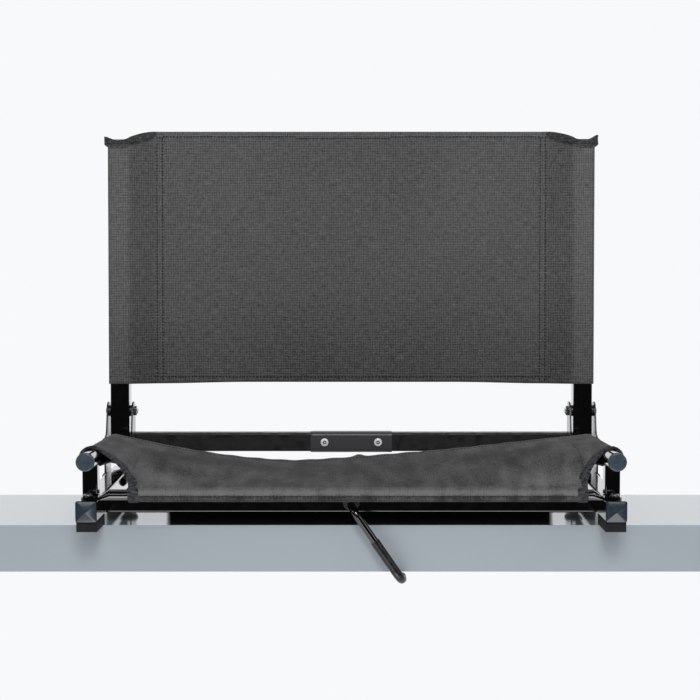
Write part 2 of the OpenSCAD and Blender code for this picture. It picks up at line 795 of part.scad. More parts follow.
// Bend of a rod from the -Z side to the +Y side of its frame's origin
module rod_bend(d) {
    translate([0, hook_bend, hook_bend]) rotate([0, 90, 0]) rotate([0, 0, -90])
        rotate_extrude(angle = 90) translate([hook_bend, 0]) circle(d = d);
}

module hook_rod() {
    shaft_end = hook_rear_y + hook_washer_t - hook_y;
    color("#101113") hook_frame() {
        translate([0, hook_bend, 0]) rotate([-90, 0, 0]) cylinder(d = hook_d, h = shaft_end - hook_bend);
        translate([0, shaft_end, 0]) rotate([-90, 0, 0]) cylinder(d = hook_thread_d, h = hook_thread_length);
        mirror([0, 0, 1]) rod_bend(hook_d);
        translate([0, 0, hook_bend - hook_arm]) cylinder(d = hook_d, h = hook_arm - 2 * hook_bend);
        translate([0, 0, -hook_arm]) rod_bend(hook_d);
        translate([0, hook_bend, -hook_arm]) rotate([-90, 0, 0])
            cylinder(d = hook_d, h = hook_reach - hook_bend - sleeve_t);
    }
}

module hook_sleeve() {
    color("#2b2c2f") hook_frame() difference() {
        union() {
            translate([0, 0, hook_bend - hook_arm])
                cylinder(d = hook_sleeve_d, h = hook_arm - hook_bend - sleeve_start);
            translate([0, 0, -hook_arm]) rod_bend(hook_sleeve_d);
            translate([0, hook_bend, -hook_arm]) rotate([-90, 0, 0])
                cylinder(d = hook_sleeve_d, h = hook_reach - hook_bend);
        }
        translate([0, 0, hook_bend - hook_arm]) cylinder(d = hook_d, h = hook_arm);
        translate([0, 0, -hook_arm]) rod_bend(hook_d);
        translate([0, hook_bend, -hook_arm]) rotate([-90, 0, 0])
            cylinder(d = hook_d, h = hook_reach - hook_bend - sleeve_t);
    }
}

// Flanged bush in a face of the front crossbar, its flange towards +Z
module hook_bush() {
    color("#0e0f10") difference() {
        union() {
            cylinder(d = bush_flange_d, h = bush_flange_t);
            translate([0, 0, -bush_barrel_length]) cylinder(d = bush_barrel_d, h = bush_barrel_length + 0.01);
        }
        hole(hook_d + 2 * run_gap);
    }
}

module hook_bush_front() {
    translate([0, crossbar_y - tube_w / 2, hook_z]) rotate([90, 0, 0]) hook_bush();
}

module hook_bush_rear() {
    translate([0, crossbar_y + tube_w / 2, hook_z]) rotate([-90, 0, 0]) hook_bush();
}

module hook_washer() {
    color("#b9bcc0") translate([0, hook_rear_y + hook_play, hook_z]) rotate([-90, 0, 0]) difference() {
        cylinder(d = bush_flange_d - 2, h = hook_washer_t);
        hole(hook_d);
    }
}

module hook_nut() {
    nut_y = hook_rear_y + hook_play + hook_washer_t;
    color("#b9bcc0") translate([0, nut_y, hook_z]) rotate([-90, 0, 0]) difference() {
        cylinder(d = hook_nut_af / cos(30), h = hook_nut_h, $fn = 6);
        hole(hook_thread_d);
    }
}

base_rail(-1);  // base_rail_left
base_rail(1);  // base_rail_right
rail_plugs(-1);  // rail_plugs_front
rail_plugs(1);  // rail_plugs_rear
foot(-1, -1);  // foot_front_left
foot(1, -1);  // foot_front_right
foot(-1, 1);  // foot_rear_left
foot(1, 1);  // foot_rear_right
foot_screws();
front_post(-1);  // front_post_left
front_post(1);  // front_post_right
seat_rail(-1);  // seat_rail_left
seat_rail(1);  // seat_rail_right
seat_rail_caps();
front_crossbar();
sling_bar();
sling_bar_screws();
rail_bumpers();
bracket_plate(-1, 1);  // plate_outer_left
bracket_plate(-1, -1);  // plate_inner_left
bracket_plate(1, 1);  // plate_outer_right
bracket_plate(1, -1);  // plate_inner_right
pivot_bolts();
pivot_nuts();
pivot_washers();
bracket_bolts();
bracket_nuts();
bracket_washers();
seat_rail_spacers();
upright(-1);  // upright_left
upright(1);  // upright_right
upright_plugs_top();
upright_plugs_bottom();
rear_crossbar(-1);  // rear_crossbar_left
rear_crossbar(1);  // rear_crossbar_right
crossbar_plugs();
splice_clip();
splice_screws();
crossbar_screws();
rear_nuts();
seat_sling();
back_sling();
hook_rod();
hook_sleeve();
hook_bush_front();
hook_bush_rear();
hook_washer();
hook_nut();
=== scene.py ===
import json
import math

import bmesh
import bpy
from mathutils import Matrix, Vector, noise
from mathutils.bvhtree import BVHTree

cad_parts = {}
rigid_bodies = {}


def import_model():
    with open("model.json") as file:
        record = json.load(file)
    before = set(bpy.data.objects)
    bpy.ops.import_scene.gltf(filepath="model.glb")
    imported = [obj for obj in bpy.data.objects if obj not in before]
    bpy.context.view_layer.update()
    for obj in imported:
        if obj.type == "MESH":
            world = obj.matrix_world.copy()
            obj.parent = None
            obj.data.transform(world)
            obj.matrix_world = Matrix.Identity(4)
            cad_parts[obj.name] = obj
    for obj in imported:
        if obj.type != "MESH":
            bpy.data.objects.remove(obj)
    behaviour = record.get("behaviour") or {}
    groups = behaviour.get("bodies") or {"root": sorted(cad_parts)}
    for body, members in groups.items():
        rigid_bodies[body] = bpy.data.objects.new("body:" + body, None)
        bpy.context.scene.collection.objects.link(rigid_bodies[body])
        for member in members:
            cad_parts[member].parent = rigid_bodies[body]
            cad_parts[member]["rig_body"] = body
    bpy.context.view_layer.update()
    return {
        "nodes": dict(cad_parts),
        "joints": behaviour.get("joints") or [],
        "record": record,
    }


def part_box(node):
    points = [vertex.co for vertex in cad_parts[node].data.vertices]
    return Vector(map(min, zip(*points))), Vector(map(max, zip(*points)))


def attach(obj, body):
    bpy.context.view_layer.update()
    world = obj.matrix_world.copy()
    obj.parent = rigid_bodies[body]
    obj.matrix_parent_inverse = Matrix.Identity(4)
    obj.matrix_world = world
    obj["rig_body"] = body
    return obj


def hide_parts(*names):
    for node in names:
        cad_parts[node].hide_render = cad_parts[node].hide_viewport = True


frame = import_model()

bl_info = {
    "name": "Bleacher Chair",
    "version": (1, 0, 0),
    "blender": (4, 5, 0),
    "location": "View3D > Sidebar > Chair",
    "description": "Dresses the frame of a low stadium seat in enamel, canvas, plastic and rubber",
    "category": "Add Mesh",
}

MM = 0.001


def linear(hex_colour):
    """The linear RGBA of an sRGB hex colour."""
    parts = [int(hex_colour[i:i + 2], 16) / 255 for i in (1, 3, 5)]
    return (*[c / 12.92 if c <= 0.04045 else ((c + 0.055) / 1.055) ** 2.4 for c in parts], 1)


def smooth(low, high, value):
    """Rises from 0 at low to 1 at high, level at both ends."""
    t = min(1, max(0, (value - low) / (high - low)))
    return t * t * (3 - 2 * t)


def bump(value, middle, reach):
    """A smooth hump of height 1 round a middle value."""
    return math.exp(-((value - middle) / reach) ** 2)


# Materials

def add(tree, kind, links=None, **settings):
    """Adds a node with its settings; links gives each input's value, or the node or socket it takes."""
    node = tree.nodes.new(kind)
    for name, value in settings.items():
        setattr(node, name, value)
    for name, value in (links or {}).items():
        if isinstance(value, bpy.types.Node):
            value = value.outputs[0]
        if isinstance(value, bpy.types.NodeSocket):
            tree.links.new(value, node.inputs[name])
        else:
            node.inputs[name].default_value = value
    return node


def new_material(name, colour, roughness, sockets):
    """A Principled material whose even values sit on the shader's own sockets."""
    material = bpy.data.materials.new(name)
    material.use_nodes = True
    shader = material.node_tree.nodes["Principled BSDF"]
    for socket, value in {"Base Color": colour, "Roughness": roughness, **sockets}.items():
        shader.inputs[socket].default_value = value
    return material, material.node_tree, shader


def per_mm(size):
    """Noise scale, in metres of Object coordinates, whose features are that many millimetres."""
    return 1000 / size


def grain(tree, size_mm, detail):
    """A pattern with features of a size in millimetres, fixed to the piece."""
    place = add(tree, "ShaderNodeTexCoord")
    return add(tree, "ShaderNodeTexNoise", {
        "Vector": place.outputs["Object"], "Scale": per_mm(size_mm), "Detail": detail})


def mottle(tree, shader, pattern, low, high, colour, other, most=1.0):
    """Lets a second colour show where a pattern rises from low to high."""
    share = add(tree, "ShaderNodeMapRange", {
        "Value": pattern, "From Min": low, "From Max": high, "To Max": most})
    mixed = add(tree, "ShaderNodeMix", {0: share, 6: colour, 7: other}, data_type="RGBA")
    tree.links.new(mixed.outputs[2], shader.inputs["Base Color"])


def dull(tree, shader, pattern, low, high, least, most):
    """Dulls the shine from least to most roughness where a pattern rises from low to high."""
    dulled = add(tree, "ShaderNodeMapRange", {
        "Value": pattern, "From Min": low, "From Max": high, "To Min": least, "To Max": most})
    tree.links.new(dulled.outputs["Result"], shader.inputs["Roughness"])


def roughen(tree, shader, pattern, depth_mm):
    """Raises the surface by a pattern of a real depth."""
    relief = add(tree, "ShaderNodeBump", {"Height": pattern, "Distance": depth_mm * MM})
    tree.links.new(relief.outputs["Normal"], shader.inputs["Normal"])


def baked_enamel(name, colour, roughness, coat):
    """Sprayed and baked enamel on steel tube: near black, wet-looking, with faint orange peel."""
    material, tree, shader = new_material(name, colour, roughness, {
        "Coat Weight": coat, "Coat Roughness": 0.04, "Coat IOR": 1.6})
    dull(tree, shader, grain(tree, 12.0, 4.0), 0.35, 0.75, roughness * 0.8, roughness * 1.6)
    roughen(tree, shader, grain(tree, 7.0, 1.0), 0.008)
    return material


def powder_coat(name, colour, roughness, coat=0.0):
    """Powder coat on cut and folded steel: satin black with a fine pebble and paler rubbed spots."""
    material, tree, shader = new_material(name, colour, roughness, {
        "Coat Weight": coat, "Coat Roughness": 0.1})
    mottle(tree, shader, grain(tree, 14.0, 3.0), 0.55, 0.8, colour, linear("#3a3b3e"), most=0.35)
    roughen(tree, shader, grain(tree, 0.9, 3.0), 0.05)
    return material


def moulded_plastic(name, colour, paler, roughness):
    """Injection-moulded polyethylene: blue-grey, softly clouded, with a fine spark grain."""
    material, tree, shader = new_material(name, colour, roughness, {"Specular IOR Level": 0.6})
    mottle(tree, shader, grain(tree, 5.0, 3.0), 0.3, 0.7, colour, paler)
    roughen(tree, shader, grain(tree, 0.35, 2.0), 0.03)
    return material


def moulded_rubber(name, colour, dusty, roughness):
    """Vulcanised rubber: soft black with a grey bloom that gathers in patches."""
    material, tree, shader = new_material(name, colour, roughness, {"Specular IOR Level": 0.3})
    mottle(tree, shader, grain(tree, 9.0, 4.0), 0.4, 0.75, colour, dusty)
    roughen(tree, shader, grain(tree, 0.6, 3.0), 0.06)
    return material


def plated_steel(name, colour, roughness, stain, metal=1.0):
    """Plated fastener steel: bright, with faint stains and turning marks, or frosted if metal is low."""
    material, tree, shader = new_material(name, colour, roughness, {"Metallic": metal})
    marks = grain(tree, 2.2, 4.0)
    mottle(tree, shader, marks, 0.35, 0.75, colour, stain, most=0.4)
    dull(tree, shader, marks, 0.3, 0.7, roughness * 0.8, roughness * 1.4)
    return material


# Sizes of a yarn's slubs across and along the cloth, then of its flecks, in millimetres
WARP_YARN, WEFT_YARN, FLECK = (2.0, 9.0), (12.0, 2.0), (1.6, 1.6)
# Distances between yarns as drawn, across and up the cloth, in millimetres
WARP_PITCH, WEFT_PITCH = 3.1, 3.3
# Weight of either yarn beside the flecks, and the range over which dark yarn turns pale
YARN_WEIGHT, HEATHER_RANGE = 0.8, 0.6


def woven_canvas(name, face, reverse, nap, nap_weight, ribs):
    """Heathered polyester canvas: dark and pale yarns in a plain weave, with a dark coated reverse.

    The real threads are 0.5 mm apart, too fine to show, so the yarns are drawn about 3 mm apart.
    The weight ribs says how much their even rows show. The nap lies in patches of the size nap,
    in millimetres across and along. A point attribute paints light and shade into the face: paler
    over a tube and on the seat's hem as painted highlight, darker in hollows as painted shade, with
    random patches; "reverse" shows the coated side, and paints shade in its colours on pocket folds."""
    material, tree, shader = new_material(name, face[0], 0.9, {
        "Specular IOR Level": 0.12, "Sheen Weight": 0.1, "Sheen Roughness": 0.5})
    cloth = add(tree, "ShaderNodeUVMap", uv_map="cloth")
    axes = add(tree, "ShaderNodeSeparateXYZ", {"Vector": cloth})
    mottle_and_painted_light, turned = (add(tree, "ShaderNodeAttribute", attribute_name=name) for name in ("mottle_and_painted_light", "reverse"))

    def yarns(size, detail=1.0):
        place = add(tree, "ShaderNodeMapping", {
            "Vector": cloth, "Scale": (per_mm(size[0]), per_mm(size[1]), 1)})
        return add(tree, "ShaderNodeTexNoise", {"Vector": place, "Scale": 1.0, "Detail": detail})

    def rows(axis, pitch):
        turns = add(tree, "ShaderNodeMath", {
            0: axes.outputs[axis], 1: math.tau / (pitch * MM)}, operation="MULTIPLY")
        return add(tree, "ShaderNodeMath", {0: turns}, operation="SINE")

    def laid_over(under, *patterns):
        for pattern, weight in patterns:
            under = add(tree, "ShaderNodeMath", {0: pattern, 1: weight, 2: under}, operation="MULTIPLY_ADD")
        return under

    thread = laid_over(yarns(FLECK), (yarns(WEFT_YARN), YARN_WEIGHT), (yarns(WARP_YARN), YARN_WEIGHT),
                       (rows("Y", WEFT_PITCH), ribs), (rows("X", WARP_PITCH), ribs))
    # Painted light and shade from the point attribute, with the nap's patches, laid over the yarns
    tone_and_painted_light = laid_over(thread, (mottle_and_painted_light.outputs["Fac"], 1.0), (yarns(nap, 3.0), nap_weight))
    middle = (1 + 2 * YARN_WEIGHT + nap_weight) / 2
    heather = add(tree, "ShaderNodeMapRange", {
        "Value": tone_and_painted_light, "From Min": middle - HEATHER_RANGE, "From Max": middle + HEATHER_RANGE})
    sides = [add(tree, "ShaderNodeMix", {0: heather, 6: dark, 7: pale}, data_type="RGBA").outputs[2]
             for dark, pale in (face, reverse)]
    shown = add(tree, "ShaderNodeMix", {
        0: turned.outputs["Fac"], 6: sides[0], 7: sides[1]}, data_type="RGBA")
    tree.links.new(shown.outputs[2], shader.inputs["Base Color"])
    roughen(tree, shader, thread, 0.25)
    return material


def binding_tape(name, dark, light):
    """Polyester binding tape: blue-black with pale cross ribs, pulled into ridges by its stitches.

    Real ribs are 0.8 mm apart, too fine to show, so they are drawn 3 mm apart."""
    material, tree, shader = new_material(name, dark, 0.8, {
        "Specular IOR Level": 0.25, "Sheen Weight": 0.1})
    cloth = add(tree, "ShaderNodeUVMap", uv_map="cloth")
    place = add(tree, "ShaderNodeMapping", {"Vector": cloth, "Scale": (per_mm(7.7), per_mm(3), 1)})
    ribs = add(tree, "ShaderNodeTexNoise", {"Vector": place, "Scale": 1.0, "Detail": 2.0})
    mottle(tree, shader, ribs, 0.35, 0.65, dark, light)
    roughen(tree, shader, ribs, 0.3)
    return material


def twisted_thread(name, colour):
    """Bonded nylon sewing thread: dark, with a slight waxy shine."""
    material, tree, shader = new_material(name, colour, 0.55, {"Specular IOR Level": 0.4})
    roughen(tree, shader, grain(tree, 0.4, 1.0), 0.05)
    return material


def dipped_vinyl(name, colour, scuffed):
    """Dip-coated PVC sleeve: dull dark grey, softer than the enamel, scuffed along its length."""
    material, tree, shader = new_material(name, colour, 0.28, {"Specular IOR Level": 0.45})
    scuffs = grain(tree, 6.0, 5.0)
    mottle(tree, shader, scuffs, 0.45, 0.75, colour, scuffed)
    roughen(tree, shader, scuffs, 0.05)
    return material


# Shapes

# Points closer than this are one
WELD = 1e-6


def body_of_node(node):
    """The body that a CAD node rides on."""
    return frame["nodes"][node]["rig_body"]


def slot_of_node(node):
    """The material slot that a CAD node has in the record."""
    return next(p["material_slot"] for p in frame["record"]["subparts"] if p["node"] == node)


def new_piece(name, bm, material, body, slot, replaced=(), sharp_angle=35):
    """Makes a finished piece of a bmesh: smooth but for its sharp edges, riding on its body."""
    mesh = bpy.data.meshes.new(name)
    bm.to_mesh(mesh)
    bm.free()
    mesh.materials.append(material)
    mesh.shade_smooth()
    mesh.set_sharp_from_angle(angle=math.radians(sharp_angle))
    piece = bpy.data.objects.new(name, mesh)
    bpy.context.scene.collection.objects.link(piece)
    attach(piece, body)
    if replaced:
        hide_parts(*replaced)
    return piece


def bevel(bm, edges, width, segments):
    """Rounds edges over to a width."""
    bmesh.ops.bevel(bm, geom=edges, offset=width, offset_type="OFFSET", segments=segments, profile=0.5,
                    affect="EDGES", clamp_overlap=True, material=-1)


# The folded clip: its wall, and how near its front corners' edges lie to its top and its front
SPLICE_WALL, CORNER_RISE, CORNER_DEPTH = 1.4 * MM, 1.8 * MM, 4 * MM


def bend_corners(bm, radius):
    """Bends a folded sheet's front corners, outside and inside, to a radius."""
    low, high = (pick(v.co.z for v in bm.verts) for pick in (min, max))
    front = min(v.co.y for v in bm.verts)

    def at_corner(vert):
        return min(vert.co.z - low, high - vert.co.z) < CORNER_RISE and vert.co.y < front + CORNER_DEPTH

    for facing, bent in ((-1, radius), (1, radius - SPLICE_WALL)):
        corners = [e for e in bm.edges if e.calc_face_angle(0) > 1
                   and any(f.normal.y * facing > 0.9 for f in e.link_faces)
                   and all(at_corner(v) for v in e.verts)
                   and abs(e.verts[0].co.z - e.verts[1].co.z) < 0.1 * MM]
        bevel(bm, corners, bent, 6)


# Edges that turn by more than this are hard, and get rounded over
HARD_EDGE = math.radians(25)


def eased_copy(node, width, bend):
    """A copy of a CAD node's mesh with its hard edges rounded over, and its front corners bent."""
    bm = bmesh.new()
    bm.from_mesh(frame["nodes"][node].data)
    bmesh.ops.remove_doubles(bm, verts=bm.verts, dist=WELD)
    bmesh.ops.dissolve_limit(bm, angle_limit=math.radians(0.5), verts=bm.verts, edges=bm.edges)
    if bend:
        bend_corners(bm, bend)
    bevel(bm, [e for e in bm.edges if e.is_manifold and e.calc_face_angle(0) > HARD_EDGE], width, 2)
    return bm


def paint(material, *nodes):
    """Gives CAD nodes that stay in view a material."""
    for name in nodes:
        for slot in frame["nodes"][name].material_slots:
            slot.material = material


def bake(piece):
    """Makes a piece's modifiers part of its mesh."""
    shaped = bpy.data.meshes.new_from_object(piece.evaluated_get(bpy.context.evaluated_depsgraph_get()))
    piece.modifiers.clear()
    piece.data = shaped
    return shaped


def ease(material, width, *nodes, bend=0.0, sharp_angle=35):
    """Replaces CAD nodes by copies with rounded edges in a material, shaded flat between them."""
    for node in nodes:
        piece = new_piece(node + "_eased", eased_copy(node, width, bend), material,
                          body_of_node(node), slot_of_node(node), [node], sharp_angle)
        even = piece.modifiers.new("even", "WEIGHTED_NORMAL")
        even.weight, even.keep_sharp = 100, True
        bake(piece)


def lengths_along(points):
    """Distance of each point of a line from its start."""
    lengths = [0.0]
    for a, b in zip(points, points[1:]):
        lengths.append(lengths[-1] + (b - a).length)
    return lengths


def evenly(points, count):
    """For count steps along a line of points: each place's distance, its stretch and its share of it."""
    lengths = lengths_along(points)
    k = 0
    for i in range(count + 1):
        distance = lengths[-1] * i / count
        while k < len(points) - 2 and lengths[k + 1] < distance:
            k += 1
        yield distance, k, (distance - lengths[k]) / max(lengths[k + 1] - lengths[k], 1e-9)


def cloth_grid(bm, columns, rows, place, uv_place):
    """A grid of cloth: place and uv_place give each vertex's point and UV from its column and row."""
    made = bmesh.ops.create_grid(bm, x_segments=columns - 1, y_segments=rows - 1, size=1)["verts"]
    uv_layer = bm.loops.layers.uv.get("cloth") or bm.loops.layers.uv.new("cloth")
    spots = {}
    for vert in made:
        spots[vert] = (round((vert.co.x + 1) / 2 * (columns - 1)), round((vert.co.y + 1) / 2 * (rows - 1)))
    for vert, (i, j) in spots.items():
        vert.co = place(i, j)
    for face in {f for v in made for f in v.link_faces}:
        for loop in face.loops:
            loop[uv_layer].uv = uv_place(*spots[loop.vert])


def thicken(piece, thickness, shows=None, mottle_and_painted_light_at=None):
    """Gives a cloth surface its thickness, and marks its coated reverse, shade painted in that
    reverse's colours, and light and shade painted on its face.
    """
    count = len(piece.data.vertices)
    solid = piece.modifiers.new("thickness", "SOLIDIFY")
    solid.thickness, solid.offset = thickness, 0
    shaped = bake(piece)
    reverse = shaped.attributes.new("reverse", "FLOAT", "POINT")
    for i, item in enumerate(reverse.data):
        item.value = 1.0 if i >= count else (shows(shaped.vertices[i].co) if shows else 0.0)
    # Painted light and shade on the face, with random patches
    if mottle_and_painted_light_at:
        for vert, item in zip(shaped.vertices, shaped.attributes.new("mottle_and_painted_light", "FLOAT", "POINT").data):
            item.value = mottle_and_painted_light_at(vert.co)


def face_out(bm, near, outward):
    """Makes an open sheet's faces agree, with the one nearest to a point facing outward."""
    bmesh.ops.recalc_face_normals(bm, faces=bm.faces)
    face = min(bm.faces, key=lambda f: (f.calc_center_median() - near).length_squared)
    if face.normal.dot(outward) < 0:
        bmesh.ops.reverse_faces(bm, faces=bm.faces)


def surface_tree(piece):
    """A piece's surface, to find its nearest point to another."""
    return BVHTree.FromPolygons(
        [v.co for v in piece.data.vertices], [tuple(p.vertices) for p in piece.data.polygons])


def walk(points, pitch):
    """Points and directions every pitch along a line of points."""
    found, carried = [], pitch / 2
    for start, end in zip(points, points[1:]):
        step = end - start
        while carried < step.length:
            found.append((start + step * (carried / step.length), step.normalized()))
            carried += pitch
        carried -= step.length
    return found


def every_4_mm(first, last):
    """Places 4 mm apart along a seam, in metres, from its first and last in millimetres."""
    return [place * MM for place in range(first, last, 4)]


# How far a stitch's middle stands above the cloth, as a share of its width
STITCH_LIFT = 0.15


def sew(name, lines, tree, body, sizes, width):
    """Rows of raised stitches laid on a cloth's surface along lines of points near it."""
    thread = bpy.data.materials.get("sewing_thread_black")
    if thread is None:
        thread = twisted_thread("sewing_thread_black", bpy.context.scene.chair_colours.thread)
    bm, stitch = bmesh.new(), bmesh.new()
    bmesh.ops.create_uvsphere(stitch, u_segments=6, v_segments=4, radius=1)
    shape = Matrix.Diagonal((sizes.stitch_length / 2, width / 2, width / 2, 1))
    for line in lines:
        for point, along in walk(line, sizes.stitch_pitch):
            spot, normal, _, _ = tree.find_nearest(point)
            side = normal.cross(along).normalized()
            along = side.cross(normal).normalized()
            turn = Matrix((along, side, normal)).transposed().to_4x4()
            place = Matrix.Translation(spot + normal * width * STITCH_LIFT) @ turn @ shape
            # One stitch is copied, because an operator's call for each takes over a minute in all
            verts = [bm.verts.new(place @ v.co) for v in stitch.verts]
            for face in stitch.faces:
                bm.faces.new([verts[v.index] for v in face.verts])
    stitch.free()
    return new_piece(name, bm, thread, body, "charcoal_canvas", sharp_angle=80)


# Sizes and colours that a user would change

def length(name, description, default):
    """A length in metres."""
    return bpy.props.FloatProperty(name=name, description=description, default=default, unit="LENGTH")


def tint(name, description, hex_colour):
    """A colour, given as sRGB hex."""
    return bpy.props.FloatVectorProperty(
        name=name, description=description, default=linear(hex_colour), size=4, subtype="COLOR")


class ChairSizes(bpy.types.PropertyGroup):
    """Sizes of the canvas and of what is added to the frame."""
    thickness: length("Canvas", "Thickness of one layer of canvas", 1.6 * MM)
    gap: length("Slack", "Gap between the canvas and the tube inside it", 0.4 * MM)
    hem_left: length("Hem left", "Left end of the seat's front hem", -0.2635)
    hem_right: length("Hem right", "Right end of the seat's front hem", 0.2795)
    arch_back: length("Arch depth", "Distance from the sling bar back to the canvas on the rails", 37.5 * MM)
    lip: length("Lip", "How far the canvas outside a rail reaches ahead of its hem", 16 * MM)
    sag: length("Sag", "Height of the lowest point of the seat's rear hem", 52.5 * MM)
    sag_x: length("Sag place", "Sideways place of the lowest point of the seat", -0.075)
    band: length("Band", "Width of the tape round the seat's side cuts", 12.5 * MM)
    pocket_seam: length("Pocket", "Distance from an upright's inner face to its pocket's seam", 38 * MM)
    seam_gap: length("Seam rows", "Distance between a seam's two rows of stitches", 6.8 * MM)
    back_bottom: length("Back bottom", "Distance from the pivot up to the back's bottom hem", 37 * MM)
    back_top: length("Back top", "Distance from the pivot up to the back's top hem", 377 * MM)
    plug_top: length("Plug top", "Distance from the pivot up to the tops of the uprights' plugs", 355 * MM)
    recline: bpy.props.FloatProperty(
        name="Recline", description="Lean of the back from upright",
        default=math.radians(2), subtype="ANGLE")
    stitch_length: length("Stitch", "Length of a stitch", 3.6 * MM)
    stitch_pitch: length("Stitch pitch", "Distance between stitches", 4.6 * MM)
    thread: length("Thread", "Width of a stitch in the seat", 1.0 * MM)
    back_thread: length("Back thread", "Width of a stitch in the back", 1.5 * MM)


class ChairColours(bpy.types.PropertyGroup):
    """Colours of the chair's main finishes."""
    enamel: tint("Enamel", "Glossy enamel of the tubes", "#040405")
    plate: tint("Plates", "Powder coat of the bracket plates", "#0d0d0e")
    clip: tint("Clip", "Powder coat of the clip that joins the rear crossbar", "#3d3c3f")
    plug: tint("Plugs", "Plastic of the square plugs", "#262d36")
    cap: tint("Caps", "Plastic of the round caps", "#2f3942")
    foot: tint("Feet", "Rubber of the feet", "#0b0e10")
    yarn_dark: tint("Dark yarn", "Darkest of the canvas's yarns", "#2e2e2e")
    yarn_pale: tint("Pale yarn", "Palest of the canvas's yarns", "#6e6e6e")
    reverse_dark: tint("Dark reverse", "Darkest of the canvas's coated reverse", "#1c1c1d")
    reverse_pale: tint("Pale reverse", "Palest of the canvas's coated reverse", "#3e3e3f")
    tape: tint("Tape", "Binding tape of the seat's side cuts", "#0b0c0e")
    thread: tint("Thread", "Sewing thread", "#101012")


# The seat's canvas

# Painted highlights and shade on the seat's canvas: X, Y, reach along each, and how much paler
SEAT_SHADES = [
    (-0.235, -0.120, 0.045, 0.028, 0.56), (0.240, -0.120, 0.050, 0.030, 0.42),
    (-0.215, 0.000, 0.060, 0.035, -0.44), (0.200, -0.010, 0.080, 0.035, -0.42),
    (-0.030, 0.000, 0.130, 0.070, -0.26),
]

# Folds in the seat's canvas: from and to in X and Y, width and depth, all in metres
CORNER_FOLDS = [
    (0.285, -0.070, 0.150, -0.105, 0.022, -2.3 * MM),
    (-0.280, -0.060, -0.150, -0.100, 0.022, -2.0 * MM),
]
PUCKER_X, PUCKER_WIDTH, PUCKER_HEIGHT = 0.010, 6 * MM, 2.6 * MM
# Height of the slack's waves and of the rear hem's ripple
SLACK_WAVE, HEM_RIPPLE = 0.9 * MM, 0.35 * MM
# Steps of the seat's mesh: along the front hem, from front to rear, round a rail, up a side cut,
# and round the sling bar
FLAT_STEPS, SEAT_ROWS, WRAP_STEPS, CUT_STEPS, POCKET_ROWS = 120, 78, 24, 22, 46
# Steps of the flap sewn under the panel, and columns where the panel bends over a rail's inner
# side, in degrees from the level
FLAP_STEPS, BEND_COLUMNS = 5, (20, 40, 60)
# Points along a side cut's bound edge
CUT_POINTS = 60
# How far in from a rail the canvas is sewn under the panel
SEAM_IN = 30 * MM
# The rear hem's seam, by its share of the way back, and the pocket's, in degrees forward from the
# top of the sling bar
REAR_SEAM, FRONT_SEAM = 0.93, 97


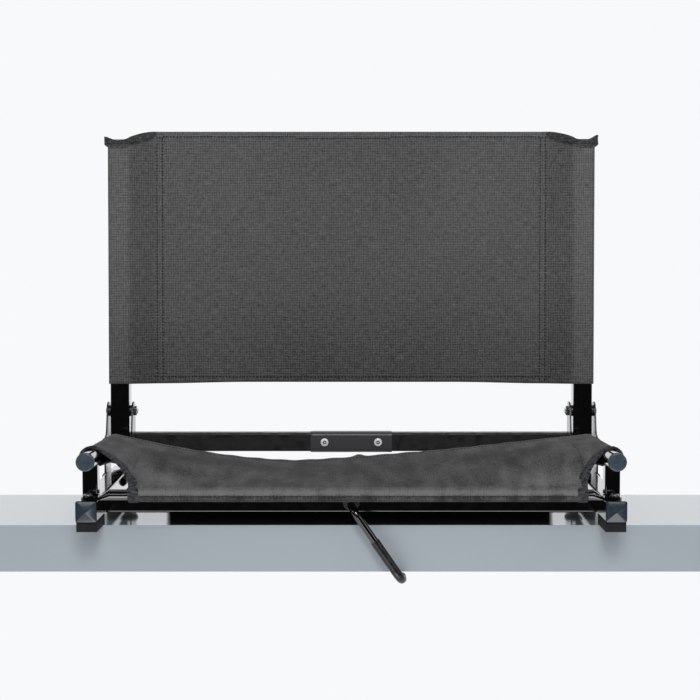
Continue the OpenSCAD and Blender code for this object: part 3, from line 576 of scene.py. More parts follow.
class SeatCloth:
    """The middle surface of the seat canvas, from the rails, the sling bar and the sizes."""
    # Angles round a rail from its inner side: where the panel meets it, where the canvas
    # leaves it underneath, and where the lip ahead of the hem ends
    wrap_top, wrap_end, lip_end = math.radians(80), math.radians(305), math.radians(212)
    # How far the pocket goes round the sling bar
    pocket_turn = math.radians(245)
    # How steeply the sag rises to the left and the right rail
    power_left, power_right = 1.57, 1.3
    # Middle control point of the side cuts' curve, as shares of its depth and of its rise
    arch_mid_y, arch_mid_z = 0.3, 0.55
    # The canvas stands off a rail by this share of its radius in front, over this share of its length
    flare, flare_reach = 0.10, 0.06

    def __init__(self, sizes):
        low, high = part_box("seat_rail_right")
        bar_low, bar_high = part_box("sling_bar")
        self.sizes = sizes
        self.rail_x = (low.x + high.x) / 2
        rail_r = (high.x - low.x) / 2
        self.fall = (high.z - low.z - 2 * rail_r) / (high.y - low.y)
        self.rail_front, self.rail_high = low.y, high.z - rail_r
        self.wrap_r = rail_r + sizes.gap + sizes.thickness / 2
        self.bar_y, self.bar_z = (bar_low.y + bar_high.y) / 2, (bar_low.z + bar_high.z) / 2
        self.pocket_r = (bar_high.z - bar_low.z) / 2 + sizes.gap + sizes.thickness / 2
        self.front_y, self.front_z = self.bar_y, self.bar_z + self.pocket_r
        self.hem_y = self.bar_y + sizes.arch_back
        self.rear_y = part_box("seat_sling")[1].y
        self.edge_x = self.rail_x - self.wrap_r * math.cos(self.wrap_top)

    def rail_z(self, y):
        """Height of a seat rail's middle line, which falls to the rear."""
        return self.rail_high - (y - self.rail_front) * self.fall

    def edge_z(self, y):
        """Height where the panel meets its wrap round a rail."""
        return self.rail_z(y) + self.wrap_r * math.sin(self.wrap_top)

    def wrap_front(self, angle):
        """Depth at which the wrap round a rail begins: at the hem, and ahead of it on the lip."""
        if angle >= self.lip_end:
            return self.hem_y
        share = (angle - self.wrap_top) / (self.lip_end - self.wrap_top)
        return self.hem_y - self.sizes.lip * math.sin(math.pi * share)

    def wrap(self, side, angle, s):
        """A point round a rail, by its angle from the inner side and its share of the way back."""
        front = self.wrap_front(angle)
        y = front + (self.rear_y - front) * s
        open_front = (1 - smooth(0, self.flare_reach, s)) * smooth(self.wrap_end, self.wrap_top, angle)
        radius = self.wrap_r * (1 + self.flare * open_front)
        return Vector((
            side * (self.rail_x - radius * math.cos(angle)), y, self.rail_z(y) + radius * math.sin(angle)))

    def hammock_z(self, x, y):
        """Height of the panel as it would hang if the sling bar held its whole front edge."""
        share = (y - self.front_y) / (self.rear_y - self.front_y)
        low = self.front_z + (self.sizes.sag - self.front_z) * share
        left = x < self.sizes.sag_x
        reach = (-self.edge_x if left else self.edge_x) - self.sizes.sag_x
        power = self.power_left if left else self.power_right
        return low + (self.edge_z(y) - low) * ((x - self.sizes.sag_x) / reach) ** power

    def cut_start(self, x):
        """End of the front hem on a point's side, where the side cut starts."""
        return self.sizes.hem_left if x < 0 else self.sizes.hem_right

    def front_edge(self, x):
        """Depth and height of the canvas's front edge: along the bar, then up the side cut."""
        start, end = self.cut_start(x), math.copysign(self.edge_x, x)
        share = (x - start) / (end - start)
        t = math.sqrt(share) if share > 0 else 0.0
        rise = self.edge_z(self.hem_y) - self.front_z
        return (
            self.front_y + (self.hem_y - self.front_y) * (2 * t * (1 - t) * self.arch_mid_y + t * t),
            self.front_z + rise * (2 * t * (1 - t) * self.arch_mid_z + t * t))

    def panel_z(self, x, y):
        """Height of the panel: the hammock, lifted by its cut front edge and laid over the rails."""
        edge_y, edge_z = self.front_edge(x)
        s = min(1, max(0, (y - edge_y) / (self.rear_y - edge_y)))
        # The front edge lifts the panel less and less towards the rear, soonest beside the rails
        pull = (1 - s) ** (2 + 6 * (abs(x) / self.edge_x) ** 3)
        slack = self.hammock_z(x, y) + (edge_z - self.hammock_z(x, edge_y)) * pull
        inward = self.rail_x - abs(x)
        if inward < self.wrap_r:
            slack = max(slack, self.rail_z(y) + math.sqrt(self.wrap_r ** 2 - inward ** 2))
        return slack + self.creases(x, y, s)

    def mottle_and_painted_light(self, spot):
        """Painted light and shade: the seat's face paler (above 0) or darker (below 0) than plain canvas.

        The front hem has a painted highlight along its upper side and painted shade below its seam. The
        panel has painted shade in its middle, is paler and more patchy towards the rails, and has the
        painted highlights and shade of SEAT_SHADES."""
        forward = (self.bar_y - spot.y) / self.pocket_r
        height = (spot.z - self.bar_z) / MM
        # Painted highlight along the hem's upper side, painted shade below its seam
        hem = 0.6 * bump(height, 4.4, 3.4) - 0.42 * smooth(1, -1, height)
        wide = smooth(0.10, 0.24, abs(spot.x + 0.01))
        patches = noise.noise(Vector((spot.x * 16, spot.y * 26, 5)))
        seat = -0.26 + 0.12 * wide + 0.25 * patches * (0.4 + 0.6 * wide)
        for x, y, reach, depth, amount in SEAT_SHADES:
            seat += amount * bump(spot.x, x, reach) * bump(spot.y, y, depth)
        return seat + (hem - seat) * smooth(-0.9, -0.1, forward)

    def creases(self, x, y, s):
        """Soft folds pulled out of the corners, a pucker in the rear hem and the cloth's slight slack."""
        inside = smooth(0, 0.12, s) * smooth(self.edge_x, self.edge_x - 50 * MM, abs(x))
        height = SLACK_WAVE * noise.noise(Vector((x * 9, y * 14, 0.3))) * inside
        for from_x, from_y, to_x, to_y, width, depth in CORNER_FOLDS:
            line = Vector((to_x - from_x, to_y - from_y))
            offset = Vector((x - from_x, y - from_y))
            along = min(1, max(0, offset.dot(line) / line.length_squared))
            away = (offset - line * along).length
            height += depth * bump(away, 0, width) * math.sin(math.pi * along) * inside
        pucker = bump(x, PUCKER_X, PUCKER_WIDTH) * smooth(0.9, 1.0, s)
        ripple = HEM_RIPPLE * math.sin(x * 190) * smooth(0.93, 1.0, s) * smooth(0.25, 0.2, abs(x))
        return height + PUCKER_HEIGHT * pucker + ripple

    def pocket(self, x, angle):
        """A point round the sling bar, by its angle forward from the top; a stitched crease lies in front."""
        turn = math.degrees(angle)
        # Millimetres: the seam's groove with a swell above it, slack waves, and each stitch's pinch
        crease = 1.3 * bump(turn, FRONT_SEAM, 6) - 0.45 * bump(turn, 78, 14)
        wave = 0.35 * noise.noise(Vector((x * 24, angle, 2))) * smooth(0, 40, turn)
        pinch = 0.04 * math.sin(x / self.sizes.stitch_pitch * math.tau) * bump(turn, 93, 14)
        r = self.pocket_r + (wave + pinch - crease) * MM
        return Vector((x, self.bar_y - r * math.sin(angle), self.bar_z + r * math.cos(angle)))

    def panel(self, x, s):
        """A point of the panel, by its place across and its share of the way back."""
        edge_y, edge_z = self.front_edge(x)
        y = edge_y + (self.rear_y - edge_y) * s
        return Vector((x, y, self.panel_z(x, y)))

    def flat_width(self):
        """Width that the seat was cut to, from seam to seam round both rails."""
        points = [self.panel(-self.edge_x + 2 * self.edge_x * i / 100, 0.9) for i in range(101)]
        wrapped = self.wrap_r * (self.wrap_end - self.wrap_top)
        return lengths_along(points)[-1] + 2 * (wrapped + SEAM_IN)


def seat_columns(cloth):
    """The places across the seat: ('wrap', side, angle), ('flap', side, share) or ('panel', x)."""
    left, right = cloth.sizes.hem_left, cloth.sizes.hem_right
    turn = cloth.wrap_top - cloth.wrap_end
    angles = [cloth.wrap_end + turn * i / WRAP_STEPS for i in range(WRAP_STEPS + 1)]
    bend = [cloth.rail_x - cloth.wrap_r * math.cos(math.radians(a)) for a in BEND_COLUMNS]
    flap = [f / FLAP_STEPS for f in range(FLAP_STEPS)]
    cut = [(i / CUT_STEPS) ** 2 for i in range(1, CUT_STEPS)]
    xs = [-b for b in reversed(bend)]
    xs += [left + (-bend[0] - left) * c for c in reversed(cut)]
    xs += [left + (right - left) * i / FLAT_STEPS for i in range(FLAT_STEPS + 1)]
    xs += [right + (bend[0] - right) * c for c in cut] + bend
    return (
        [("flap", -1, f) for f in flap] + [("wrap", -1, a) for a in angles]
        + [("panel", x) for x in xs]
        + [("wrap", 1, a) for a in reversed(angles)] + [("flap", 1, f) for f in reversed(flap)])


def seat_surface(bm, cloth):
    """The seat's panel, wrapped round both rails and sewn under, and its pocket for the sling bar."""
    sizes = cloth.sizes
    columns = seat_columns(cloth)
    # The rows lie closer together in front, where the cloth bends most
    shares = [(j / (SEAT_ROWS - 1)) ** 1.5 for j in range(SEAT_ROWS)]

    def place(i, j):
        kind, s = columns[i], shares[j]
        if kind[0] == "wrap":
            return cloth.wrap(kind[1], kind[2], s)
        if kind[0] == "panel":
            return cloth.panel(kind[1], s)
        rail = cloth.wrap(kind[1], cloth.wrap_end, s)
        x = kind[1] * (cloth.rail_x - SEAM_IN)
        # The seam lies just under the panel, a little more than a layer down
        seam = Vector((x, rail.y, cloth.panel_z(x, rail.y) - sizes.thickness * 1.15))
        return seam.lerp(rail, kind[2])

    across = lengths_along([place(i, SEAT_ROWS // 2) for i in range(len(columns))])
    cloth_grid(bm, len(columns), SEAT_ROWS, place, lambda i, j: (across[i], place(i, j).y - cloth.front_y))
    start = next(i for i, c in enumerate(columns) if c[0] == "panel" and abs(c[1] - sizes.hem_left) < 1e-9)
    girth = cloth.pocket_r * cloth.pocket_turn

    def pocket_place(i, j):
        return cloth.pocket(columns[start + i][1], cloth.pocket_turn * j / (POCKET_ROWS - 1))

    cloth_grid(bm, FLAT_STEPS + 1, POCKET_ROWS, pocket_place,
               lambda i, j: (across[start + i], -girth * j / (POCKET_ROWS - 1)))
    bmesh.ops.remove_doubles(bm, verts=bm.verts, dist=1e-7)
    face_out(bm, Vector((0, 0, cloth.front_z)), Vector((0, 0, 1)))
    return cloth.rear_y - cloth.front_y + girth


def edge_line(cloth, side):
    """Points along a side edge, each with a way out: round the bar, up the cut, over the rail.

    They are 6 degrees apart round the bar, and 8 over the rail."""
    start, end = cloth.cut_start(side), side * cloth.edge_x
    line = []
    for turn in range(180, 0, -6):
        angle = math.radians(turn)
        line.append((cloth.pocket(start, angle), Vector((0, -math.sin(angle), math.cos(angle)))))
    for i in range(CUT_POINTS + 1):
        point = cloth.panel(start + (end - start) * (i / CUT_POINTS) ** 2, 0)
        line.append((point, Vector((-side * 0.4, -0.3, 1)).normalized()))
    for k in range(1, 17):
        angle = cloth.wrap_top + math.radians(8 * k)
        out = Vector((-side * math.cos(angle), -0.2, math.sin(angle)))
        line.append((cloth.wrap(side, angle, 0), out))
    return line


# The tape's steps along its edge, how many of them its direction is taken over each way,
# its thickness and the distance between its puckers
TAPE_STEP, TURN_STEPS, TAPE_THICKNESS, PUCKER_PITCH = 0.55 * MM, 14, 0.7 * MM, 2.9 * MM
# The tape's section: underside or face, and the share of its width; the stitches lie near its edge
TAPE_SECTION = [(-1, 0.85), (-1, 0.4), (-1, 0.0), (0, -0.08)] + [(1, k / 12) for k in range(13)]
FACE_MIDDLE, STITCH_LINE = 8, 14


def edge_frames(line, side, count):
    """A point, a way out and a way inward for each step along an edge, and its distance."""
    frames = []
    for distance, k, share in evenly([point for point, _ in line], count):
        point = line[k][0].lerp(line[k + 1][0], share)
        out = line[k][1].lerp(line[k + 1][1], share).normalized()
        # The direction is taken over five stretches of the line, so that it turns smoothly
        along = (line[min(k + 3, len(line) - 1)][0] - line[max(k - 2, 0)][0]).normalized()
        inward = out.cross(along).normalized()
        # Inward is to the chair's middle and rear
        if inward.dot(Vector((-side, 0.6, 0))) < 0:
            inward.negate()
        frames.append((point, out, inward, distance))
    return frames


def edge_band(name, cloth, side, tree, material):
    """The bound edge of a side cut: tape folded round the canvas's edge, puckered by its stitches.

    Returns the tape and the line of its stitches."""
    width = cloth.sizes.band
    line = edge_line(cloth, side)
    length = lengths_along([point for point, _ in line])[-1]
    steps = int(length / TAPE_STEP)
    frames = edge_frames(line, side, steps)
    rows = []
    for i, (point, out, _, distance) in enumerate(frames):
        near = frames[max(0, i - TURN_STEPS):i + TURN_STEPS + 1]
        inward = sum((f[2] for f in near), Vector()).normalized()
        ridge = math.sin(distance / PUCKER_PITCH * math.tau + 1.2 * math.sin(distance / (9 * MM)))
        row = []
        for face, across in TAPE_SECTION:
            if face == 0:
                row.append(point + inward * width * across)
                continue
            aim = point + inward * width * across + out * face * 1.2 * MM
            spot, normal, _, _ = tree.find_nearest(aim)
            # Millimetres: the tape lies on the canvas and sinks into it at its inner edge
            pucker = 0.2 * ridge * math.sin(math.pi * min(1, across * 1.1))
            swell = 0.5 + pucker - 0.9 * smooth(0.80, 0.90, across)
            row.append(spot + normal * swell * MM)
        rows.append(row)
    bm = bmesh.new()
    cloth_grid(bm, steps + 1, len(TAPE_SECTION), lambda i, j: rows[i][j],
               lambda i, j: (TAPE_SECTION[j][1] * width, length * i / steps))
    face_out(bm, rows[steps // 2][FACE_MIDDLE], line[len(line) // 2][1])
    piece = new_piece(name, bm, material, "base", "charcoal_canvas", sharp_angle=80)
    thicken(piece, TAPE_THICKNESS)
    return piece, [row[STITCH_LINE].copy() for row in rows[::4]]


# The back's canvas

# Rows of the back's mesh, its steps between the seams, and the rows' share below the uprights' tops
BACK_ROWS, PANEL_STEPS, LOW_ROWS = 104, 104, 0.78


class BackCloth:
    """The middle surface of the canvas back, in the frame of the leaning uprights."""
    # How far the closed pocket's corner sticks out past its upright
    ear_out = 8 * MM
    # From the corner's tip in: where the top hem is lowest
    valley = (14 * MM, 26 * MM)
    # Height of the painted shade on the fold that closes a pocket's top, and width of the flap behind its
    # seam
    fold, flap = 13 * MM, 9 * MM
    # How far each ear's tip and its valley lie below the top hem
    ears = {-1: (6.5 * MM, 10.5 * MM), 1: (4 * MM, 10 * MM)}
    # Outer corner radius of an upright, and the spacing of the points round it
    tube_corner, section_step = 2.5 * MM, 2.2 * MM
    # Below the top and above the bottom, the rows of stitches in the hems
    top_hem, bottom_hem = 8 * MM, 9 * MM

    def __init__(self, sizes):
        low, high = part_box("upright_right")
        self.sizes = sizes
        self.upright_x = (low.x + high.x) / 2
        self.half = (high.x - low.x) / 2
        self.pivot = Vector(next(j for j in frame["joints"] if j["name"] == "back_fold")["pos_m"])
        out = sizes.gap + sizes.thickness / 2
        self.near = self.half + out
        self.corner = self.tube_corner + out
        self.seam = self.half + sizes.pocket_seam
        self.tip = -self.half - self.ear_out
        self.section = self.pocket_section()

    def to_world(self, x, y, z):
        """A point given across, behind and above the pivot along the leaning uprights."""
        lean = self.sizes.recline
        return self.pivot + Vector((
            x, y * math.cos(lean) + z * math.sin(lean), z * math.cos(lean) - y * math.sin(lean)))

    def pocket_section(self):
        """Points round an upright, inner side towards +X, from the flap behind to the seam in front."""
        c = self.near - self.corner
        lean = math.atan2(self.near, self.seam - c)
        behind = self.sizes.thickness * 1.06

        def bend(cx, cy, first, last, steps):
            angles = [first + (last - first) * k / steps for k in range(steps + 1)]
            return [(cx + self.corner * math.cos(a), cy + self.corner * math.sin(a)) for a in angles]

        quarter = math.pi / 2
        path = [(self.seam + self.flap, behind), (self.seam, behind)]
        path += bend(c, c, quarter - lean, quarter, 4) + bend(-c, c, quarter, 2 * quarter, 6)
        path += bend(-c, -c, 2 * quarter, 3 * quarter, 6) + bend(c, -c, 3 * quarter, 3 * quarter + lean, 4)
        path = [Vector(p) for p in path + [(self.seam, 0.0)]]
        count = round(lengths_along(path)[-1] / self.section_step)
        return [path[k].lerp(path[k + 1], min(1, share)) for _, k, share in evenly(path, count)]

    def top(self, side, x):
        """Height of the top hem over a pocket, by the distance in from its upright."""
        tip_drop, dip = self.ears[side]
        near, far = (self.tip + d for d in self.valley)
        if x < far:
            rise = (dip - tip_drop) * smooth(near, self.tip, x)
        else:
            share = min(1, (x - far) / (self.seam - 3 * MM - far))
            rise = dip * (1 - (1 - share) ** 1.8) * smooth(-0.1, 0.25, share)
        return self.sizes.back_top - dip + rise

    def bottom(self, x):
        """Height of the bottom hem, which rises 2 mm towards the pockets."""
        return self.sizes.back_bottom + 2 * MM * smooth(self.upright_x - self.seam, 0.14, abs(x))

    def row_height(self, row, top, bottom):
        """Height of a row: evenly spaced up to just below the uprights' tops, and closer above."""
        knee = self.sizes.plug_top - 6 * MM
        if row < LOW_ROWS:
            return bottom + (knee - bottom) * row / LOW_ROWS
        return knee + (top - knee) * (row - LOW_ROWS) / (1 - LOW_ROWS)

    def pocket(self, side, k, row):
        """A point of a pocket: its place round the upright and its row, 0 at the bottom and 1 at the top.

        Above the upright's plug the pocket is pinched flat, and its folded top is lumpy."""
        sizes, last = self.sizes, len(self.section) - 1
        point = self.section[k]
        half = len(self.section) // 2
        seam_k = sum(1 for p in self.section[:half] if p.x > self.seam)
        round_share = (k - seam_k) / (half - seam_k) if k <= half else (last - k) / (last - half)
        share = min(1, max(0, round_share))
        flat_x = self.seam + (self.tip - self.seam) * share if k > seam_k else point.x
        # Pinched flat, the two layers lie on each other, and the flap behind them
        flat_y = (0.56 if k <= half else -0.56) * sizes.thickness * (1 if k > seam_k else 1.9)
        z = self.row_height(row, self.top(side, flat_x), self.bottom(side * self.upright_x))
        pinch = smooth(sizes.plug_top - 1 * MM, sizes.plug_top + 6 * MM, z)
        x = point.x + (flat_x - point.x) * pinch
        y = point.y + (flat_y - point.y) * pinch
        slack = 0.5 * MM * noise.noise(Vector((x * 40, z * 12, side + 3))) * (1 - pinch)
        below = self.top(side, x) - z
        # The folded top swells, in millimetres, with lumps of cloth caught in it
        roll = bump(below, 6 * MM, 4.5 * MM) * smooth(self.seam + 2 * MM, self.seam - 14 * MM, x)
        lumps = 1.8 * noise.noise(Vector((x * 170, z * 150, side)))
        lumps += 1.5 + 0.4 * math.sin(x / (4.2 * MM) * math.tau)
        swell = slack + roll * lumps * MM
        return self.to_world(side * (self.upright_x - x), y + math.copysign(swell, y), z)

    def panel(self, x, row):
        """A point of the panel between the pockets, slightly slack, with its two sewn hems."""
        inner = self.upright_x - self.seam
        top, bottom = self.sizes.back_top, self.bottom(x)
        z = self.row_height(row, top, bottom)
        y = 1.0 * MM * noise.noise(Vector((x * 5, z * 8, 7))) * smooth(inner, inner - 50 * MM, abs(x))
        y += 0.35 * MM * math.sin(x * 120) * smooth(inner - 110 * MM, inner, abs(x))
        y += 0.8 * MM * bump(z, top - self.top_hem, 1.3 * MM)
        y += 0.5 * MM * bump(z, bottom + self.bottom_hem, 1.2 * MM)
        return self.to_world(x, y, z)

    def mottle_and_painted_light(self, spot):
        """Painted light and shade on the back's face: paler over the uprights, darker in the middle and low
        down.
        """
        x = self.upright_x - abs(spot.x)
        height = (spot.z - self.pivot.z) / self.sizes.back_top
        over_tube = (smooth(self.half + 3 * MM, self.half - 3 * MM, x)
                     * smooth(-self.half - 2 * MM, -self.half + 4 * MM, x))
        slope = smooth(self.half, self.half + 6 * MM, x) * smooth(self.seam, self.seam - 8 * MM, x)
        middle = smooth(0.2, 0.05, abs(spot.x))
        patch = noise.noise(Vector((spot.x * 9, spot.z * 7, 3)))
        hem, low = smooth(0.975, 0.985, height), smooth(0.5, 0.15, height)
        return 0.14 * over_tube - 0.12 * slope - 0.06 * middle + 0.06 * patch + 0.10 * hem - 0.12 * low

    def folded(self, spot):
        """How much painted shade, in the dark reverse's colours, lies at a point: on the fold that closes a
        pocket's top.
        """
        local = spot - self.pivot
        lean = self.sizes.recline
        z = local.z * math.cos(lean) + local.y * math.sin(lean)
        x = self.upright_x - abs(local.x)
        if x > self.seam:
            return 0.0
        side = 1 if local.x > 0 else -1
        # A band of painted shade, speckled, below the pocket's top hem
        width = self.fold * (1 - 0.45 * smooth(self.seam - 14 * MM, self.seam, x))
        edge = self.top(side, x) - width + 1.2 * MM * noise.noise(Vector((x * 300, 0, side)))
        speckle = 0.75 + 1.1 * noise.noise(Vector((x * 300, z * 420, 1)))
        return smooth(edge - 0.8 * MM, edge + 0.8 * MM, z) * speckle


def back_surface(bm, cloth):
    """The canvas back: one cloth folded round both uprights, from flap to flap."""
    count = len(cloth.section)
    inner = cloth.upright_x - cloth.seam
    columns = [("pocket", -1, k) for k in range(count)]
    columns += [("panel", -inner + 2 * inner * i / PANEL_STEPS) for i in range(1, PANEL_STEPS)]
    columns += [("pocket", 1, k) for k in range(count - 1, -1, -1)]

    def place(i, j):
        column, row = columns[i], j / (BACK_ROWS - 1)
        if column[0] == "panel":
            return cloth.panel(column[1], row)
        return cloth.pocket(column[1], column[2], row)

    across = lengths_along([place(i, BACK_ROWS // 3) for i in range(len(columns))])
    cloth_grid(bm, len(columns), BACK_ROWS, place, lambda i, j: (across[i], place(i, j).z))
    face_out(bm, cloth.panel(0, 0.5), Vector((0, -1, 0)))
    return across[-1]


def back_seams(cloth):
    """Lines of stitches on the back's two faces: both hems, and two rows beside each pocket."""
    sizes = cloth.sizes
    inner = cloth.upright_x - cloth.seam
    off = 3 * MM
    widths, heights = every_4_mm(-300, 301), every_4_mm(40, 374)
    hems = ((sizes.back_top - cloth.top_hem, inner), (sizes.back_bottom + cloth.bottom_hem, inner + 0.06))
    lines = []
    for face in (-off, off):
        for height, reach in hems:
            lines.append([cloth.to_world(x, face, height) for x in widths if abs(x) < reach])
        for side in (-1, 1):
            for row in (0, sizes.seam_gap):
                lines.append([cloth.to_world(side * (inner - row), face, z) for z in heights])
    return lines


# Fasteners

def loose_boxes(node):
    """The lowest and highest corner of each separate body in a CAD node."""
    bm = bmesh.new()
    bm.from_mesh(frame["nodes"][node].data)
    bmesh.ops.remove_doubles(bm, verts=bm.verts, dist=WELD)
    left, boxes = set(bm.verts), []
    while left:
        front = [left.pop()]
        found = list(front)
        while front:
            near = {e.other_vert(v) for v in front for e in v.link_edges} & left
            left -= near
            front = list(near)
            found += front
        boxes.append([Vector([pick(v.co[i] for v in found) for i in range(3)]) for pick in (min, max)])
    bm.free()
    return boxes


# Height of a screw's head and diameter of its shaft
SCREW_HEAD, SCREW_SHAFT = 2.6 * MM, 5.8 * MM
# Shares of the head: the socket's mouth of its diameter, and the rim, the socket's depth
# and the pin's height of its height
MOUTH, RIM, SOCKET_DEPTH, PIN = 0.26, 0.25, 0.7, 0.5
# Steps of the head's dome, and edges on each of the socket's six sides, so that their rings match
DOME_STEPS, SIDE_EDGES = 7, 6


def socket_screw(bm, seat, axis, head_d, shaft_length):
    """A button-head screw with a hexagon socket and a pin in it; its head stands on its seat."""
    made = bmesh.new()
    r, mouth, shaft_r = head_d / 2, head_d * MOUTH, SCREW_SHAFT / 2
    outline = [(0, -shaft_length), (shaft_r, -shaft_length), (shaft_r, 0), (r, 0), (r, SCREW_HEAD * RIM)]
    for k in range(1, DOME_STEPS + 1):
        angle = math.pi / 2 * k / DOME_STEPS
        height = SCREW_HEAD * (RIM + (1 - RIM) * math.sin(angle))
        outline.append((mouth + (r - mouth) * math.cos(angle), height))
    verts = [made.verts.new((x, 0, z)) for x, z in outline]
    edges = [made.edges.new(pair) for pair in zip(verts, verts[1:])]
    bmesh.ops.spin(made, geom=verts + edges, cent=(0, 0, 0), axis=(0, 0, 1), angle=math.tau,
                   steps=6 * SIDE_EDGES, use_merge=True)
    bmesh.ops.remove_doubles(made, verts=made.verts, dist=1e-7)
    rim = [e for e in made.edges if e.is_boundary]
    ring = bmesh.ops.create_circle(made, segments=6, radius=mouth * 0.92)["verts"]
    bmesh.ops.translate(made, vec=(0, 0, SCREW_HEAD), verts=ring)
    sides = list({e for v in ring for e in v.link_edges})
    bmesh.ops.subdivide_edges(made, edges=sides, cuts=SIDE_EDGES - 1)
    socket = [e for e in made.edges if e.is_wire]
    bmesh.ops.bridge_loops(made, edges=rim + socket)
    deeper = bmesh.ops.extrude_edge_only(made, edges=socket)["geom"]
    walls, floor, outline = (
        [g for g in deeper if isinstance(g, kind)]
        for kind in (bmesh.types.BMFace, bmesh.types.BMVert, bmesh.types.BMEdge))
    bmesh.ops.translate(made, vec=(0, 0, -SCREW_HEAD * SOCKET_DEPTH), verts=floor)
    bottom = bmesh.ops.edgenet_fill(made, edges=outline)["faces"]
    for face in bottom:
        face.normal_update()
        if face.normal.z < 0:
            face.normal_flip()
    walls += bmesh.ops.inset_individual(
        made, faces=bottom, thickness=mouth * 0.4, depth=SCREW_HEAD * PIN)["faces"]
    # The socket's walls take the second material, a darker copy that paints shade in the recess
    for face in walls:
        face.material_index = 1
    bmesh.ops.recalc_face_normals(made, faces=made.faces)
    turn = axis.to_track_quat("Z", "Y").to_matrix().to_4x4()
    bmesh.ops.transform(made, matrix=Matrix.Translation(seat) @ turn, verts=made.verts)
    mesh = bpy.data.meshes.new("screw")
    made.to_mesh(mesh)
    made.free()
    bm.from_mesh(mesh)
    bpy.data.meshes.remove(mesh)


def socket_screws(node, axis, material, recess):
    """Replaces a node's domed screws by ones with a hexagon socket, of the same size in the same place."""
    bm = bmesh.new()
    along = [abs(a) for a in axis].index(1)
    for low, high in loose_boxes(node):
        size = high - low
        top = (low + high) / 2
        top[along] = high[along] if axis[along] > 0 else low[along]
        socket_screw(bm, top - axis * SCREW_HEAD, axis, size[(along + 1) % 3], size[along] - SCREW_HEAD)
    screws = new_piece(node + "_socket", bm, material, body_of_node(node), slot_of_node(node), [node],
                       sharp_angle=30)
    screws.data.materials.append(recess)


class CHAIR_OT_frame(bpy.types.Operator):
    """Enamel on every tube of the frame"""
    bl_idname = "chair.frame"
    bl_label = "Enamelled tubes"

    def execute(self, context):
        gloss = baked_enamel("baked_enamel_gloss_black", context.scene.chair_colours.enamel, 0.12, coat=1.0)
        paint(gloss, "base_rail_left", "base_rail_right", "front_post_left", "front_post_right",
              "seat_rail_left", "seat_rail_right", "front_crossbar", "sling_bar",
              "upright_left", "upright_right", "hook_rod")
        soft = baked_enamel("baked_enamel_soft_black", linear("#0b0b0c"), 0.42, coat=0.0)
        paint(soft, "rear_crossbar_left", "rear_crossbar_right")
        return {"FINISHED"}


class CHAIR_OT_brackets(bpy.types.Operator):
    """Bracket plates and the clip that joins the rear crossbar"""
    bl_idname = "chair.brackets"
    bl_label = "Plates and clip"

    def execute(self, context):
        colours = context.scene.chair_colours
        plate = powder_coat("powder_coated_plate", colours.plate, 0.3, coat=0.8)
        ease(plate, 0.5 * MM,
             "plate_outer_left", "plate_inner_left", "plate_outer_right", "plate_inner_right")
        clip = powder_coat("powder_coated_clip", colours.clip, 0.36)
        ease(clip, 0.2 * MM, "splice_clip", bend=5.4 * MM)
        return {"FINISHED"}


# The ridges between a plug's four sloping facets turn 23 degrees, and stay sharp
PLUG_RIDGE = 18


class CHAIR_OT_plugs(bpy.types.Operator):
    """Moulded plugs, caps, feet and buttons"""
    bl_idname = "chair.plugs"
    bl_label = "Plugs and feet"

    def execute(self, context):
        colours = context.scene.chair_colours
        plastic = moulded_plastic("moulded_polyethylene_slate", colours.plug, linear("#313a44"), 0.16)
        ease(plastic, 0.6 * MM, "rail_plugs_front", "rail_plugs_rear",
             "upright_plugs_top", "upright_plugs_bottom", "crossbar_plugs", sharp_angle=PLUG_RIDGE)
        cap = moulded_plastic("moulded_polyethylene_blue_grey", colours.cap, linear("#3f4a54"), 0.3)
        ease(cap, 0.6 * MM, "seat_rail_caps")
        foot = moulded_rubber("moulded_rubber_foot", colours.foot, linear("#15191d"), 0.7)
        ease(foot, 0.9 * MM, "foot_front_left", "foot_front_right", "foot_rear_left", "foot_rear_right")
        button = moulded_rubber("moulded_rubber_button", linear("#17181a"), linear("#222325"), 0.5)
        paint(button, "rail_bumpers")
        return {"FINISHED"}


class CHAIR_OT_fasteners(bpy.types.Operator):
    """Bolts, nuts, screws, washers, collars and bushes"""
    bl_idname = "chair.fasteners"
    bl_label = "Fasteners"

    def execute(self, context):
        oxide = powder_coat("black_oxide_steel", linear("#1b1c1f"), 0.34)
        paint(oxide, "pivot_bolts", "bracket_bolts")
        ease(oxide, 0.4 * MM, "bracket_nuts")
        chrome = plated_steel("chrome_plated_nut", linear("#d3d6d9"), 0.12, linear("#9aa0a6"))
        ease(chrome, 0.4 * MM, "pivot_nuts")
        zinc = plated_steel("zinc_plated_steel", linear("#b3b6b8"), 0.3, linear("#84888a"))
        paint(zinc, "foot_screws", "hook_washer")
        ease(zinc, 0.4 * MM, "rear_nuts", "hook_nut")
        nickel = plated_steel("frosted_nickel_screw", linear("#f4f5f5"), 0.3, linear("#cfd2d4"), metal=0.15)
        # A darker copy of the nickel for the sockets: painted shade in the recess
        recess = plated_steel("nickel_socket_painted_shade", linear("#4d5053"), 0.6, linear("#2c2e30"))
        socket_screws("splice_screws", Vector((0, -1, 0)), nickel, recess)
        socket_screws("crossbar_screws", Vector((0, -1, 0)), nickel, recess)
        dark = plated_steel("black_zinc_screw", linear("#8a8d91"), 0.3, linear("#3c3e41"))
        socket_screws("sling_bar_screws", Vector((0, 0, 1)), dark, recess)
        nylon = moulded_plastic("moulded_black_nylon", linear("#0f1011"), linear("#17181a"), 0.4)
        paint(nylon, "pivot_washers", "bracket_washers", "seat_rail_spacers",
              "hook_bush_front", "hook_bush_rear")
        return {"FINISHED"}


def canvas_colours(colours):
    """The canvas's dark and pale yarns, and those of its coated reverse."""
    return (colours.yarn_dark, colours.yarn_pale), (colours.reverse_dark, colours.reverse_pale)


